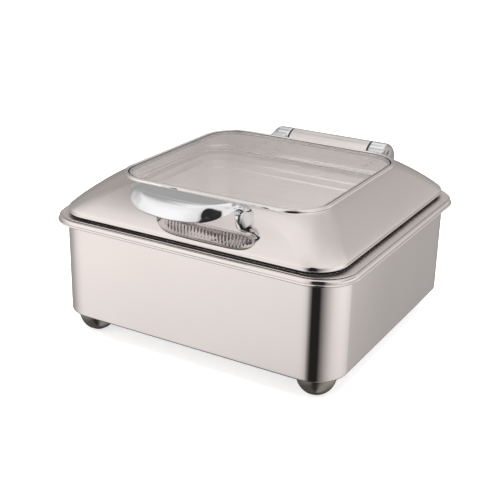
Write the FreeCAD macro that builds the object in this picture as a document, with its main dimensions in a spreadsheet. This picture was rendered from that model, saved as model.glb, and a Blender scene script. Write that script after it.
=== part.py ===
import FreeCAD, Part
import math, os

# Electric chafing dish: a deep-drawn rectangular body on four domed feet, a fixed
# water pan, a lift-out 2/3 size food pan, a domed lid with a glass window, a
# crescent handle and a rear barrel hinge.  Millimetres, +Z up, front faces -Y.

V = FreeCAD.Vector
doc = FreeCAD.newDocument("chafing_dish")
sheet = doc.addObject("Spreadsheet::Sheet", "dims")

CELLS = [
    ("shifty", -4.0),       # moves the body so that the whole object is centred in Y
    ("rimw", 420.0), ("rimd", 391.4), ("rimrad", 50.2),
    ("rimlow", 156.3), ("rimtop", 164.6), ("sheetth", 1.0),
    ("wallins", 11.4), ("wallrad", 42.2), ("bodylow", 30.5), ("flangew", 62.0),
    ("basew", 291.0), ("based", 263.0), ("baserad", 30.0), ("baseth", 1.5),
    ("footx", 162.6), ("footy", 148.3), ("footrad", 25.7), ("footflat", 6.5), ("footlow", 1.5),
    ("panth", 0.9), ("wpflw", 409.6), ("wpfld", 381.0), ("wpflr", 45.3),
    ("wpstepw", 362.8), ("wpstepd", 333.8), ("wpledge", 158.6), ("wpbottom", 62.0),
    ("wellw", 345.8), ("welld", 316.8),
    ("fpw", 354.0), ("fpd", 325.0), ("fpth", 0.8), ("fpz", 158.9), ("fpdeep", 65.0),
    ("lipw", 388.0), ("lipd", 376.0), ("liprad", 41.8), ("lipz", 170.3), ("lipth", 1.0),
    ("domeinset", 0.4), ("domez", 174.6), ("dometop", 214.0),
    ("ringw", 289.5), ("ringd", 279.7), ("ringrad", 49.5), ("ringz", 217.0), ("ringband", 5.4),
    ("glassth", 3.2), ("glassgap", 0.3),
    ("sealz", 165.8), ("sealband", 4.0),
    ("hingey", 210.5), ("hingez", 188.2), ("barrelrad", 21.5), ("barrelhalf", 62.7),
    ("armin", 65.3), ("armout", 95.5), ("armround", 12.0), ("pinrad", 6.0), ("boreclear", 0.05), ("washerrad", 20.6), ("washerth", 2.4),
    ("platerad", 105.0), ("platez", 53.9), ("platetop", 61.9),
    ("elring", 75.0), ("elrad", 4.0), ("elz", 52.0),
    ("trayrad", 112.0), ("trayz", 44.0), ("pillarrad", 95.0),
    ("panelw", 184.0), ("panelz", 60.0), ("panelth", 1.5), ("panelmid", 80.0),
    ("knobx", -60.0), ("knobrad", 20.0), ("lampx", -24.0), ("switchx", 8.0), ("inletx", 58.0),
    ("handlex", 65.2), ("handley", -157.0), ("handlez", 202.8),
    ("griptop", 230.0), ("gripridge", -208.0), ("gripback", -182.0), ("griplow", 208.2), ("gripfront", -223.7),
]
for i, (name, val) in enumerate(CELLS):
    sheet.set("A%d" % (i + 1), name)
    sheet.set("B%d" % (i + 1), repr(val))
    sheet.setAlias("B%d" % (i + 1), name)
doc.recompute()


class Q:
    """A size that carries its value and the sheet expression it comes from."""

    def __init__(self, v, e):
        self.v = float(v)
        self.e = e

    def __add__(self, o):
        o = q(o)
        return Q(self.v + o.v, "(%s + %s)" % (self.e, o.e))

    __radd__ = __add__

    def __sub__(self, o):
        o = q(o)
        return Q(self.v - o.v, "(%s - %s)" % (self.e, o.e))

    def __rsub__(self, o):
        return q(o) - self

    def __mul__(self, o):
        o = q(o)
        return Q(self.v * o.v, "(%s * %s)" % (self.e, o.e))

    __rmul__ = __mul__

    def __truediv__(self, o):
        o = q(o)
        return Q(self.v / o.v, "(%s / %s)" % (self.e, o.e))

    def __neg__(self):
        return Q(-self.v, "(0 - %s)" % self.e)


def q(x):
    if isinstance(x, Q):
        return x
    return Q(x, "(%.6f)" % float(x) if x < 0 else "%.6f" % float(x))


def D(name):
    return Q(float(sheet.get(name)), "dims." + name)


SH = D("shifty")
NODES = []
YPOS = {}


def bind(obj, prop, size):
    size = q(size)
    obj.setExpression(prop, size.e)


def place(obj, x, y, z, rot=None):
    x, y, z = q(x), q(y), q(z)
    if rot is not None:
        obj.Placement = FreeCAD.Placement(V(x.v, y.v, z.v), rot)
    else:
        obj.Placement = FreeCAD.Placement(V(x.v, y.v, z.v), FreeCAD.Rotation())
    for ax, s in (("x", x), ("y", y), ("z", z)):
        obj.setExpression("Placement.Base." + ax, s.e)
    YPOS[obj.Name] = y


def node(label, obj):
    """Names a finished sub-part and puts it in the object's own frame."""
    obj.Label = label
    y = YPOS.get(obj.Name, q(0.0)) + SH
    obj.setExpression("Placement.Base.y", y.e)
    NODES.append((label, obj))
    return obj


# ---------------------------------------------------------------- primitives
AX = {"Z": None, "X": FreeCAD.Rotation(V(0, 1, 0), 90), "Y": FreeCAD.Rotation(V(1, 0, 0), -90)}


def box(name, x0, y0, z0, dx, dy, dz):
    o = doc.addObject("Part::Box", name)
    bind(o, "Length", dx)
    bind(o, "Width", dy)
    bind(o, "Height", dz)
    place(o, x0, y0, z0)
    return o


def cyl(name, x, y, z, rad, length, axis="Z"):
    o = doc.addObject("Part::Cylinder", name)
    bind(o, "Radius", rad)
    bind(o, "Height", length)
    place(o, x, y, z, AX[axis])
    return o


def ball(name, x, y, z, rad):
    o = doc.addObject("Part::Sphere", name)
    bind(o, "Radius", rad)
    place(o, x, y, z)
    return o


def ring(name, x, y, z, big, small, sweep=360.0, turn=0.0):
    o = doc.addObject("Part::Torus", name)
    bind(o, "Radius1", big)
    bind(o, "Radius2", small)
    o.Angle3 = sweep
    place(o, x, y, z, FreeCAD.Rotation(V(0, 0, 1), turn))
    return o


def fuse(name, objs):
    o = doc.addObject("Part::MultiFuse", name)
    o.Shapes = objs
    return o


def comp(name, objs):
    o = doc.addObject("Part::Compound", name)
    o.Links = objs
    return o


def cut(name, base, tools):
    o = doc.addObject("Part::Cut", name)
    o.Base = base
    if len(tools) == 1:
        o.Tool = tools[0]
    else:
        o.Tool = fuse(name + "_tools", tools)
    return o


# ---------------------------------------------------------------- sketched bodies
def plane(body, role):
    for f in body.Origin.OriginFeatures:
        if f.Role == role:
            return f
    raise RuntimeError("no plane " + role)


def new_sketch(body, name, role="XY_Plane", off=(0.0, 0.0, 0.0)):
    sk = body.newObject("Sketcher::SketchObject", name)
    sk.AttachmentSupport = (plane(body, role), [""])
    sk.MapMode = "FlatFace"
    o = [q(c) for c in off]
    sk.AttachmentOffset = FreeCAD.Placement(V(o[0].v, o[1].v, o[2].v), FreeCAD.Rotation())
    for ax, s in zip("xyz", o):
        sk.setExpression("AttachmentOffset.Base." + ax, s.e)
    return sk


def rrect_sketch(body, name, w, d, rad, off):
    """A rounded rectangle centred on the sketch origin, sizes bound by name."""
    import Sketcher
    w, d, rad = q(w), q(d), q(rad)
    sk = new_sketch(body, name, "XY_Plane", off)
    a, b, r = w.v / 2.0, d.v / 2.0, rad.v
    L = [((-a + r, -b), (a - r, -b)), ((a, -b + r), (a, b - r)), ((a - r, b), (-a + r, b)), ((-a, b - r), (-a, -b + r))]
    C = [((a - r, -b + r), -90), ((a - r, b - r), 0), ((-a + r, b - r), 90), ((-a + r, -b + r), 180)]
    geo = []
    for k in range(4):
        (x0, y0), (x1, y1) = L[k]
        geo.append(Part.LineSegment(V(x0, y0, 0), V(x1, y1, 0)))
        (cx, cy), a0 = C[k]
        circ = Part.Circle(V(cx, cy, 0), V(0, 0, 1), r)
        geo.append(Part.ArcOfCircle(circ, math.radians(a0), math.radians(a0 + 90)))
    sk.addGeometry(geo, False)
    con = []
    for k in range(8):
        con.append(Sketcher.Constraint("Tangent", k, 2, (k + 1) % 8, 1))
    con += [Sketcher.Constraint("Horizontal", 0), Sketcher.Constraint("Vertical", 2),
            Sketcher.Constraint("Horizontal", 4), Sketcher.Constraint("Vertical", 6)]
    con += [Sketcher.Constraint("Equal", 1, 3), Sketcher.Constraint("Equal", 3, 5), Sketcher.Constraint("Equal", 5, 7)]
    con.append(Sketcher.Constraint("Symmetric", 1, 3, 5, 3, -1, 1))
    sk.addConstraint(con)
    for nm, c, s in (("corner_rad", Sketcher.Constraint("Radius", 1, r), rad),
                     ("size_wide", Sketcher.Constraint("DistanceX", 6, 1, 2, 1, w.v), w),
                     ("size_deep", Sketcher.Constraint("DistanceY", 0, 1, 4, 1, d.v), d)):
        i = sk.addConstraint(c)
        sk.renameConstraint(i, nm)
        sk.setExpression("Constraints." + nm, s.e)
    return sk


def prism(name, w, d, rad, z0, z1, cx=0.0, cy=0.0, low=None, high=None):
    """Rounded-rectangle plate or block from z0 to z1; low/high are edge roundings."""
    b = doc.addObject("PartDesign::Body", name)
    sk = rrect_sketch(b, name + "_sk", w, d, rad, (cx, cy, z0))
    pad = b.newObject("PartDesign::Pad", name + "_pad")
    pad.Profile = sk
    bind(pad, "Length", q(z1) - q(z0))
    b.Tip = pad
    for tag, zz, rr in (("low", z0, low), ("high", z1, high)):
        if rr is None:
            continue
        doc.recompute()
        names = []
        base = b.Tip
        for i, e in enumerate(base.Shape.Edges):
            bb = e.BoundBox
            if abs(bb.ZMin - q(zz).v) < 1e-4 and abs(bb.ZMax - q(zz).v) < 1e-4:
                names.append("Edge%d" % (i + 1))
        f = b.newObject("PartDesign::Fillet", name + "_" + tag)
        f.Base = (base, names)
        bind(f, "Radius", rr)
        b.Tip = f
    return b


def stack(name, levels, ruled=True):
    """Solid lofted through rounded rectangles, given as (z, w, d, rad)."""
    b = doc.addObject("PartDesign::Body", name)
    sks = [rrect_sketch(b, "%s_s%d" % (name, i), w, d, r, (0.0, 0.0, z)) for i, (z, w, d, r) in enumerate(levels)]
    lo = b.newObject("PartDesign::AdditiveLoft", name + "_loft")
    lo.Profile = sks[0]
    lo.Sections = sks[1:]
    lo.Ruled = ruled
    b.Tip = lo
    return b


def poly_sketch(body, name, pts, role, off=(0.0, 0.0, 0.0)):
    import Sketcher
    sk = new_sketch(body, name, role, off)
    P = [(q(a), q(b)) for a, b in pts]
    n = len(P)
    sk.addGeometry([Part.LineSegment(V(P[k][0].v, P[k][1].v, 0), V(P[(k + 1) % n][0].v, P[(k + 1) % n][1].v, 0))
                    for k in range(n)], False)
    sk.addConstraint([Sketcher.Constraint("Coincident", k, 2, (k + 1) % n, 1) for k in range(n)])
    for k in range(n):
        for tag, kind, s in (("x", "DistanceX", P[k][0]), ("y", "DistanceY", P[k][1])):
            if abs(s.v) < 1e-9:
                # a vertex on a sketch axis
                sk.addConstraint(Sketcher.Constraint("PointOnObject", k, 1, -2 if tag == "x" else -1))
                continue
            i = sk.addConstraint(Sketcher.Constraint(kind, -1, 1, k, 1, s.v))
            sk.renameConstraint(i, "pos_%s_%d" % (tag, k))
            sk.setExpression("Constraints.pos_%s_%d" % (tag, k), s.e)
    return sk


def turned(name, pts):
    """Solid of revolution about Z; pts are (radius, z)."""
    b = doc.addObject("PartDesign::Body", name)
    sk = poly_sketch(b, name + "_sk", pts, "XZ_Plane")
    rv = b.newObject("PartDesign::Revolution", name + "_rev")
    rv.Profile = sk
    rv.ReferenceAxis = (sk, ["V_Axis"])
    rv.Angle = 360.0
    b.Tip = rv
    return b


def slab(name, pts, half):
    """Profile in the YZ plane extruded from x = -half to +half."""
    b = doc.addObject("PartDesign::Body", name)
    sk = poly_sketch(b, name + "_sk", pts, "YZ_Plane", (0.0, 0.0, -q(half)))
    pad = b.newObject("PartDesign::Pad", name + "_pad")
    pad.Profile = sk
    bind(pad, "Length", q(half) * 2.0)
    b.Tip = pad
    return b


def four(name, obj):
    """The object and its mirror images across the XZ and YZ planes."""
    m1 = doc.addObject("Part::Mirroring", name + "_mx")
    m1.Source = obj
    m1.Normal = V(1, 0, 0)
    c1 = comp(name + "_pair", [obj, m1])
    m2 = doc.addObject("Part::Mirroring", name + "_my")
    m2.Source = c1
    m2.Normal = V(0, 1, 0)
    return comp(name + "_four", [c1, m2])


def pair(name, obj):
    m1 = doc.addObject("Part::Mirroring", name + "_mx")
    m1.Source = obj
    m1.Normal = V(1, 0, 0)
    return comp(name + "_pair", [obj, m1])


def feature(label, shape):
    o = doc.addObject("Part::Feature", label)
    o.Shape = shape
    return o


W, DD, RR = D("rimw"), D("rimd"), D("rimrad")
WI = D("wallins")
TH = D("sheetth")
wallw, walld = W - WI * 2.0, DD - WI * 2.0
rear = walld / 2.0            # outer face of the rear wall
BL = D("bodylow")
zp = D("panelmid")

# ================================================================ body shell
# wall with a rounded lower edge, in-turned bottom flange, outward rolled rim
bs_wall = prism("bs_wall", wallw, walld, D("wallrad"), BL, D("rimtop") - TH - 0.02, low=2.5)
bs_void = prism("bs_void", wallw - TH * 2.0, walld - TH * 2.0, D("wallrad") - TH, BL + TH, D("rimtop") + 8.0, low=1.5)
bs_hole = prism("bs_hole", wallw - D("flangew") * 2.0, walld - D("flangew") * 2.0, 26.0, BL - 2.0, BL + 4.0)
rear_holes = [
    cyl("h_knob", D("knobx"), rear - 5.0, zp, 5.25, 10.0, "Y"),
    cyl("h_lamp", D("lampx"), rear - 5.0, zp, 5.0, 10.0, "Y"),
    box("h_switch", D("switchx") - 13.7, rear - 5.0, zp - 9.6, 27.4, 10.0, 19.2),
    box("h_inlet", D("inletx") - 13.7, rear - 5.0, zp - 10.3, 27.4, 10.0, 20.6),
]
for i, (sx, dz) in enumerate(((-1, -24.0), (1, -24.0), (-1, 24.0), (1, 24.0))):
    rear_holes.append(cyl("h_ps%d" % i, sx * 85.0, rear - 5.0, zp + dz, 1.55, 10.0, "Y"))
for i, (sx, z) in enumerate(((-1, 125.0), (1, 125.0), (-1, 143.0), (1, 143.0))):
    rear_holes.append(cyl("h_bs%d" % i, sx * 30.0, rear - 5.0, z, 2.6, 10.0, "Y"))
for i, sx in enumerate((-20.0, 20.0)):
    rear_holes.append(cyl("h_is%d" % i, D("inletx") + sx, rear - 5.0, zp, 1.55, 10.0, "Y"))
floor_holes = []
for i, (sx, sy) in enumerate(((-1, -1), (1, -1), (-1, 1), (1, 1))):
    floor_holes.append(cyl("h_ft%d" % i, D("footx") * sx, D("footy") * sy, BL - 3.0, 3.1, 8.0))
BPS = [(-141.0, -75.0), (141.0, -75.0), (-141.0, 75.0), (141.0, 75.0), (-100.0, -127.0), (100.0, -127.0), (-100.0, 127.0), (100.0, 127.0)]
for i, (x, y) in enumerate(BPS):
    floor_holes.append(cyl("h_bp%d" % i, x, y, BL - 3.0, 1.65, 8.0))
node("body_shell", cut("body_shell", bs_wall, [bs_void, bs_hole] + rear_holes + floor_holes))

# rim: a flat plate on top of the wall, rounded over its outer edge into a skirt that ends in a bead
def rim_levels(lv):
    return [(z, W - e, DD - e, RR - e / 2.0) for z, e in lv]


zb_, zt_ = D("rimlow"), D("rimtop")
br_out = stack("br_out", rim_levels([(zb_ + 1.0, 3.0), (zb_ + 3.1, 3.0), (zb_ + 5.3, 3.8), (zt_ - 1.3, 5.4), (zt_ - 0.4, 7.0), (zt_, 8.6)]))
br_bead = prism("br_bead", W, DD, RR, zb_, zb_ + 2.3, low=1.0, high=1.0)
br_in = stack("br_in", rim_levels([(zb_ - 1.0, 5.8), (zb_ + 3.1, 5.8), (zb_ + 5.3, 6.6), (zt_ - TH, 9.0)]))
br_open = prism("br_open", wallw - TH * 2.0, walld - TH * 2.0, D("wallrad") - TH, D("rimtop") - 4.0, D("rimtop") + 4.0)
node("body_rim", cut("body_rim", fuse("br_all", [br_out, br_bead]), [br_in, br_open]))

# ================================================================ base plate, screws and feet
bp_plate = prism("bp_plate", D("basew"), D("based"), D("baserad"), BL - D("baseth"), BL)
bp_cuts = [cyl("c_bp%d" % i, x, y, BL - 4.0, 1.65, 6.0) for i, (x, y) in enumerate(BPS)]
PIL = [(math.cos(math.radians(a)), math.sin(math.radians(a))) for a in (30, 150, 210, 330)]
for i, (c, s) in enumerate(PIL):
    bp_cuts.append(cyl("c_pil%d" % i, D("pillarrad") * c, D("pillarrad") * s, BL - 4.0, 2.2, 6.0))
for i in range(7):
    bp_cuts.append(box("c_vent%d" % i, -66.0 + 20.0 * i, -112.0, BL - 4.0, 5.0, 34.0, 6.0))
node("base_plate", cut("base_plate", bp_plate, bp_cuts))

bp_scr = []
for i, (x, y) in enumerate(BPS):
    bp_scr.append(fuse("bpscrew%d" % i, [cyl("bps_h%d" % i, x, y, BL - D("baseth") - 2.2, 4.0, 2.2),
                                         cyl("bps_s%d" % i, x, y, BL - D("baseth") - 0.2, 1.6, 6.5)]))
node("base_plate_screws", comp("base_plate_screws", bp_scr))

FR, FF, FL = D("footrad"), D("footflat"), D("footlow")
ftop = BL - 0.02
prof = [(q(6.6), FL), (FF + 0.3, FL)]
for k in range(1, 13):
    t = math.radians(90.0 - 7.5 * k)
    prof.append((FF + (FR - FF) * math.cos(t), ftop - (ftop - FL) * math.sin(t)))
prof += [(q(3.2), ftop), (q(3.2), q(14.0)), (q(6.6), q(14.0))]
foot = turned("foot_one", prof)
place(foot, D("footx"), D("footy"), 0.0)
node("foot_domes", four("foot_domes", foot))
fpad = turned("pad_one", [(0.0, 0.0), (7.6, 0.0), (8.2, 0.5), (8.2, 1.4), (6.5, 1.4), (6.5, 9.6), (0.0, 9.6)])
place(fpad, D("footx"), D("footy"), 0.0)
node("foot_pads", four("foot_pads", fpad))
fbolt = turned("bolt_one", [(0.0, 10.0), (4.6, 10.0), (5.0, 10.4), (5.0, 13.98), (3.0, 13.98), (3.0, 38.5), (2.5, 39.0), (0.0, 39.0)])
place(fbolt, D("footx"), D("footy"), 0.0)
node("foot_bolts", four("foot_bolts", fbolt))
# hexagon nut on the body flange
nb = doc.addObject("PartDesign::Body", "nut_one")
nsk = poly_sketch(nb, "nut_sk", [(5.77 * math.cos(math.radians(60 * k + 5.0)), 5.77 * math.sin(math.radians(60 * k + 5.0))) for k in range(6)],
                  "XY_Plane", (0.0, 0.0, BL + TH + 0.02))
npad = nb.newObject("PartDesign::Pad", "nut_pad")
npad.Profile = nsk
npad.Length = 5.0
nb.Tip = npad
doc.recompute()
nh = nb.newObject("PartDesign::Hole", "nut_hole")
hsk = nb.newObject("Sketcher::SketchObject", "nut_hsk")
hsk.AttachmentSupport = (plane(nb, "XY_Plane"), [""])
hsk.MapMode = "FlatFace"
hsk.AttachmentOffset = FreeCAD.Placement(V(0, 0, BL.v + TH.v + 5.02), FreeCAD.Rotation())
hsk.addGeometry([Part.Circle(V(0, 0, 0), V(0, 0, 1), 3.05)], False)
nh.Profile = hsk
nh.Diameter = 6.1
nh.DepthType = "ThroughAll"
nb.Tip = nh
doc.recompute()
if abs(nh.Shape.Volume - npad.Shape.Volume) < 1.0:
    nh.Reversed = True
    doc.recompute()
place(nb, D("footx"), D("footy"), 0.0)
node("foot_nuts", four("foot_nuts", nb))

# ================================================================ water pan (fixed in the body)
RT = D("rimtop")
PT = D("panth")
SWo, SDo = D("wpstepw"), D("wpstepd")
LZ = D("wpledge")
WB = D("wpbottom")
wp_flange = prism("wp_flange", D("wpflw"), D("wpfld"), D("wpflr"), RT, RT + PT)
wp_step = prism("wp_step", SWo, SDo, 37.0, LZ - PT, RT + PT)
wp_well = stack("wp_well", [(LZ - PT, D("wellw"), D("welld"), 30.0), (WB + 8.0, D("wellw") - 7.0, D("welld") - 7.0, 29.0),
                            (WB + 2.4, D("wellw") - 10.0, D("welld") - 10.0, 27.0), (WB, D("wellw") - 16.0, D("welld") - 16.0, 24.0)])
wp_body = fuse("wp_body", [wp_flange, wp_step, wp_well])
wp_vstep = prism("wp_vstep", SWo - PT * 2.0, SDo - PT * 2.0, 36.1, LZ, RT + 6.0)
wp_vwell = stack("wp_vwell", [(LZ + 1.0, D("wellw") - PT * 2.0, D("welld") - PT * 2.0, 29.1),
                              (WB + 8.0, D("wellw") - 8.8, D("welld") - 8.8, 28.1),
                              (WB + 2.9, D("wellw") - 11.8, D("welld") - 11.8, 26.2),
                              (WB + PT, D("wellw") - 17.0, D("welld") - 17.0, 23.5)])
node("water_pan", cut("water_pan", wp_body, [wp_vstep, wp_vwell]))

# ================================================================ food pan (lifts out)
FZ, FT, FD = D("fpz"), D("fpth"), D("fpdeep")
fpb = FZ + FT - FD
fp_flange = prism("fp_flange", D("fpw"), D("fpd"), 34.0, FZ, FZ + FT)
fw, fd = D("fpw") - 16.0, D("fpd") - 16.0


def fp_levels(i, zoff):
    e = 2.0 * i
    return [(FZ + FT + zoff, fw - e, fd - e, 28.0 - i), (q(150.0), fw - 1.0 - e, fd - 1.0 - e, 28.0 - i),
            (q(149.0), fw - 6.0 - e, fd - 6.0 - e, 26.0 - i), (fpb + 10.0, fw - 16.0 - e, fd - 16.0 - e, 25.0 - i),
            (fpb + 3.0, fw - 20.0 - e, fd - 20.0 - e, 23.0 - i), (fpb + (0.8 if i else 0.0), fw - 30.0 - e, fd - 30.0 - e, 18.0 - i)]


fp_out = stack("fp_out", fp_levels(0.0, 0.0))
fp_in = stack("fp_in", fp_levels(0.8, 1.0))
node("food_pan", cut("food_pan", fuse("fp_body", [fp_flange, fp_out]), [fp_in]))

# ================================================================ heater
tr = D("trayrad")
tz = D("trayz")
tray = turned("tray_turn", [(0.0, tz), (tr, tz), (tr, tz + 4.5), (tr - 1.0, tz + 4.5), (tr - 1.0, tz + 1.0), (0.0, tz + 1.0)])
ex, ey = D("elring") * math.sin(math.radians(15.0)), D("elring") * math.cos(math.radians(15.0))
tray_cuts = [cyl("t_leg%d" % i, ex * s, ey, tz - 4.0, 6.0, 10.0) for i, s in enumerate((-1, 1))]
tray_cuts += [cyl("t_pil%d" % i, D("pillarrad") * c, D("pillarrad") * s, tz - 4.0, 4.1, 10.0) for i, (c, s) in enumerate(PIL)]
node("reflector_tray", cut("reflector_tray", tray, tray_cuts))

pad_cyl = cyl("ins_cyl", 0.0, 0.0, tz + 1.05, 88.0, 2.5)
node("insulation_pad", cut("insulation_pad", pad_cyl, [cyl("i_leg%d" % i, ex * s, ey, tz - 4.0, 6.0, 12.0) for i, s in enumerate((-1, 1))]
                           + [box("i_slot", -13.0, -42.0, tz, 26.0, 140.0, 6.0)]))

el = [ring("el_ring", 0.0, 0.0, D("elz"), D("elring"), D("elrad"), 330.0, 105.0)]
for i, s in enumerate((-1, 1)):
    el.append(ball("el_b%d" % i, ex * s, ey, D("elz"), D("elrad") + 0.3))
    el.append(cyl("el_l%d" % i, ex * s, ey, q(40.0), D("elrad"), D("elz") - 40.0))
    el.append(cyl("el_p%d" % i, ex * s, ey, q(34.0), 1.5, 7.0))
node("heating_element", fuse("heating_element", el))

plate = cyl("hp_disc", 0.0, 0.0, D("platez"), D("platerad"), D("platetop") - D("platez"))
node("heating_plate", cut("heating_plate", plate, [ring("hp_groove", 0.0, 0.0, D("elz"), D("elring"), D("elrad") + 0.35)]))

pil = []
for i, (c, s) in enumerate(PIL):
    x, y = D("pillarrad") * c, D("pillarrad") * s
    f = fuse("pil_f%d" % i, [cyl("pil_a%d" % i, x, y, BL + 0.02, 5.0, tz - BL - 0.05), cyl("pil_b%d" % i, x, y, tz - 1.0, 3.9, D("platez") - tz + 0.97)])
    pil.append(cut("pil_c%d" % i, f, [cyl("pil_h%d" % i, x, y, BL - 1.0, 2.05, 12.0)]))
node("heater_pillars", comp("heater_pillars", pil))
ps = []
for i, (c, s) in enumerate(PIL):
    x, y = D("pillarrad") * c, D("pillarrad") * s
    ps.append(fuse("pscr%d" % i, [cyl("ps_h%d" % i, x, y, BL - D("baseth") - 2.2, 3.8, 2.2), cyl("ps_s%d" % i, x, y, BL - D("baseth") - 0.2, 2.0, 11.0)]))
node("pillar_screws", comp("pillar_screws", ps))

# bulb and capillary: straight runs joined by tangent arcs
sy = SH.v


def tube(points, radii, rad):
    """Round tube along straight runs with an arc at each inner point."""
    P = [V(*p) for p in points]
    edges = []
    start = P[0]
    for k in range(1, len(P) - 1):
        a = (P[k - 1] - P[k]).normalize()
        b = (P[k + 1] - P[k]).normalize()
        ang = a.getAngle(b)
        t = radii[k - 1] / math.tan(ang / 2.0)
        p1 = P[k] + a * t
        p2 = P[k] + b * t
        mid_dir = (a + b).normalize()
        mid = P[k] + mid_dir * (radii[k - 1] / math.sin(ang / 2.0) - radii[k - 1])
        edges.append(Part.LineSegment(start, p1).toShape())
        edges.append(Part.Arc(p1, mid, p2).toShape())
        start = p2
    edges.append(Part.LineSegment(start, P[-1]).toShape())
    w = Part.Wire(edges)
    n = (P[1] - P[0]).normalize()
    prof = Part.Wire([Part.Circle(P[0], n, rad).toShape()])
    s = w.makePipeShell([prof], True, True)
    return s


bulb = feature("thermostat_bulb", Part.makeCylinder(2.9, 70.0, V(0, -35, 50.75), V(0, 1, 0)).fuse(
    tube([(0, 34.5, 50.75), (0, 158, 50.75), (-60, 158, 50.75), (-60, 158, 80.0), (-60, 164.98, 80.0)], [12.0, 8.0, 6.0], 1.0)))
node("thermostat_bulb", bulb)
clip = cut("clip_c", fuse("clip_f", [cyl("clip_o", 0.0, -5.0, 50.75, 3.5, 10.0, "Y"), box("clip_t", -10.5, -5.0, 52.9, 21.0, 10.0, 0.9)]),
           [cyl("clip_i", 0.0, -6.0, 50.75, 2.95, 12.0, "Y"), box("clip_x", -4.0, -6.0, 53.82, 8.0, 12.0, 3.0)])
node("bulb_clip", clip)
node("thermal_cutout", fuse("thermal_cutout", [cyl("tc_a", 40.0, -30.0, 47.8, 7.0, 6.05), box("tc_b", 28.0, -34.0, 53.0, 24.0, 8.0, 0.85)]))

# terminal block and inner wires
tbx = D("inletx")
tb = box("tb_box", tbx - 20.0, 101.0, BL + 0.05, 40.0, 18.0, 13.2)
node("terminal_block", cut("terminal_block", tb, [box("tb_g%d" % i, tbx - 6.0 + 9.0 * i - 0.75, 100.0, BL + 8.0, 1.5, 20.0, 8.0) for i in range(2)]
                           + [cyl("tb_s%d" % i, tbx - 9.0 + 9.0 * i, 110.0, BL + 9.0, 2.2, 8.0) for i in range(3)]))
ix = tbx.v
wires = [tube([(ix + dx, 172.0, 69.6), (ix + dx, 172.0, 38.0), (ix + dx, 119.05, 38.0)], [9.0], 1.25) for dx in (-9.0, 0.0, 9.0)]
node("supply_wires", feature("supply_wires", Part.makeCompound(wires)))
exv, eyv = ex.v, ey.v
ew = [tube([(ix - 9.0, 100.95, 37.0), (ix - 9.0, eyv, 37.0), (exv + 1.55, eyv, 37.0)], [10.0], 1.1),
      tube([(ix + 9.0, 100.95, 37.0), (ix + 9.0, 54.0, 37.0), (-exv, 54.0, 37.0), (-exv, eyv - 1.55, 37.0)], [10.0, 8.0], 1.1)]
node("element_wires", feature("element_wires", Part.makeCompound(ew)))

# ================================================================ rear control panel
pt = D("panelth")
py0 = rear + 0.02
py1 = py0 + pt
pn = prism("pn_plate", D("panelw"), D("panelz"), 7.0, -py1, -py0, cy=zp)
pn.Placement = FreeCAD.Placement(V(0, 0, 0), FreeCAD.Rotation(V(1, 0, 0), 90))
pn_cuts = [cyl("p_knob", D("knobx"), rear - 5.0, zp, 5.25, 12.0, "Y"), cyl("p_lamp", D("lampx"), rear - 5.0, zp, 5.0, 12.0, "Y"),
           box("p_switch", D("switchx") - 13.7, rear - 5.0, zp - 9.6, 27.4, 12.0, 19.2),
           box("p_inlet", D("inletx") - 13.7, rear - 5.0, zp - 10.3, 27.4, 12.0, 20.6)]
for i, (sx, dz) in enumerate(((-1, -24.0), (1, -24.0), (-1, 24.0), (1, 24.0))):
    pn_cuts.append(cyl("p_ps%d" % i, sx * 85.0, rear - 5.0, zp + dz, 1.55, 12.0, "Y"))
for i, sx in enumerate((-20.0, 20.0)):
    pn_cuts.append(cyl("p_is%d" % i, D("inletx") + sx, rear - 5.0, zp, 1.55, 12.0, "Y"))
node("control_panel", cut("control_panel", pn, pn_cuts))
pscr = []
for i, (sx, dz) in enumerate(((-1, -24.0), (1, -24.0), (-1, 24.0), (1, 24.0))):
    pscr.append(fuse("pnscr%d" % i, [cyl("pns_s%d" % i, sx * 85.0, rear - 6.0, zp + dz, 1.5, pt + 6.5, "Y"),
                                     cyl("pns_h%d" % i, sx * 85.0, py1 + 0.02, zp + dz, 3.0, 1.8, "Y")]))
node("panel_screws", comp("panel_screws", pscr))

# thermostat body behind the wall, its bush through the panel, shaft and knob outside
kx = D("knobx")
tbody = fuse("th_f", [box("th_b", kx - 20.0, 165.0, zp - 17.0, 40.0, 18.2, 34.0), cyl("th_n", kx, 183.0, zp, 5.0, 4.6, "Y"),
                      cyl("th_r", kx, py1 + 0.04, zp, 7.6, 1.4, "Y")])
node("thermostat_body", cut("thermostat_body", tbody, [cyl("th_h", kx, 172.0, zp, 3.05, 20.0, "Y")]))
node("thermostat_shaft", cyl("thermostat_shaft", kx, 172.4, zp, 3.0, 28.4, "Y"))
kn = turned("kn_turn", [(0.0, 0.0), (18.6, 0.0), (19.8, 0.8), (20.0, 2.0), (19.4, 3.0), (15.6, 3.6), (15.0, 5.0), (14.2, 16.0), (13.0, 17.4), (0.0, 17.6)])
place(kn, kx, 188.4, zp, FreeCAD.Rotation(V(1, 0, 0), -90))
kcuts = [cyl("kn_bore", kx, 188.0, zp, 3.02, 13.0, "Y")]
for k in range(12):
    a = math.radians(30.0 * k + 15.0)
    kcuts.append(cyl("kn_f%d" % k, kx + 17.0 * math.cos(a), 192.4, zp + 17.0 * math.sin(a), 2.6, 16.0, "Y"))
kcuts.append(cyl("kn_rec", kx, 188.0, zp, 8.2, 1.6, "Y"))
node("thermostat_knob", cut("thermostat_knob", kn, kcuts))

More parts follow.
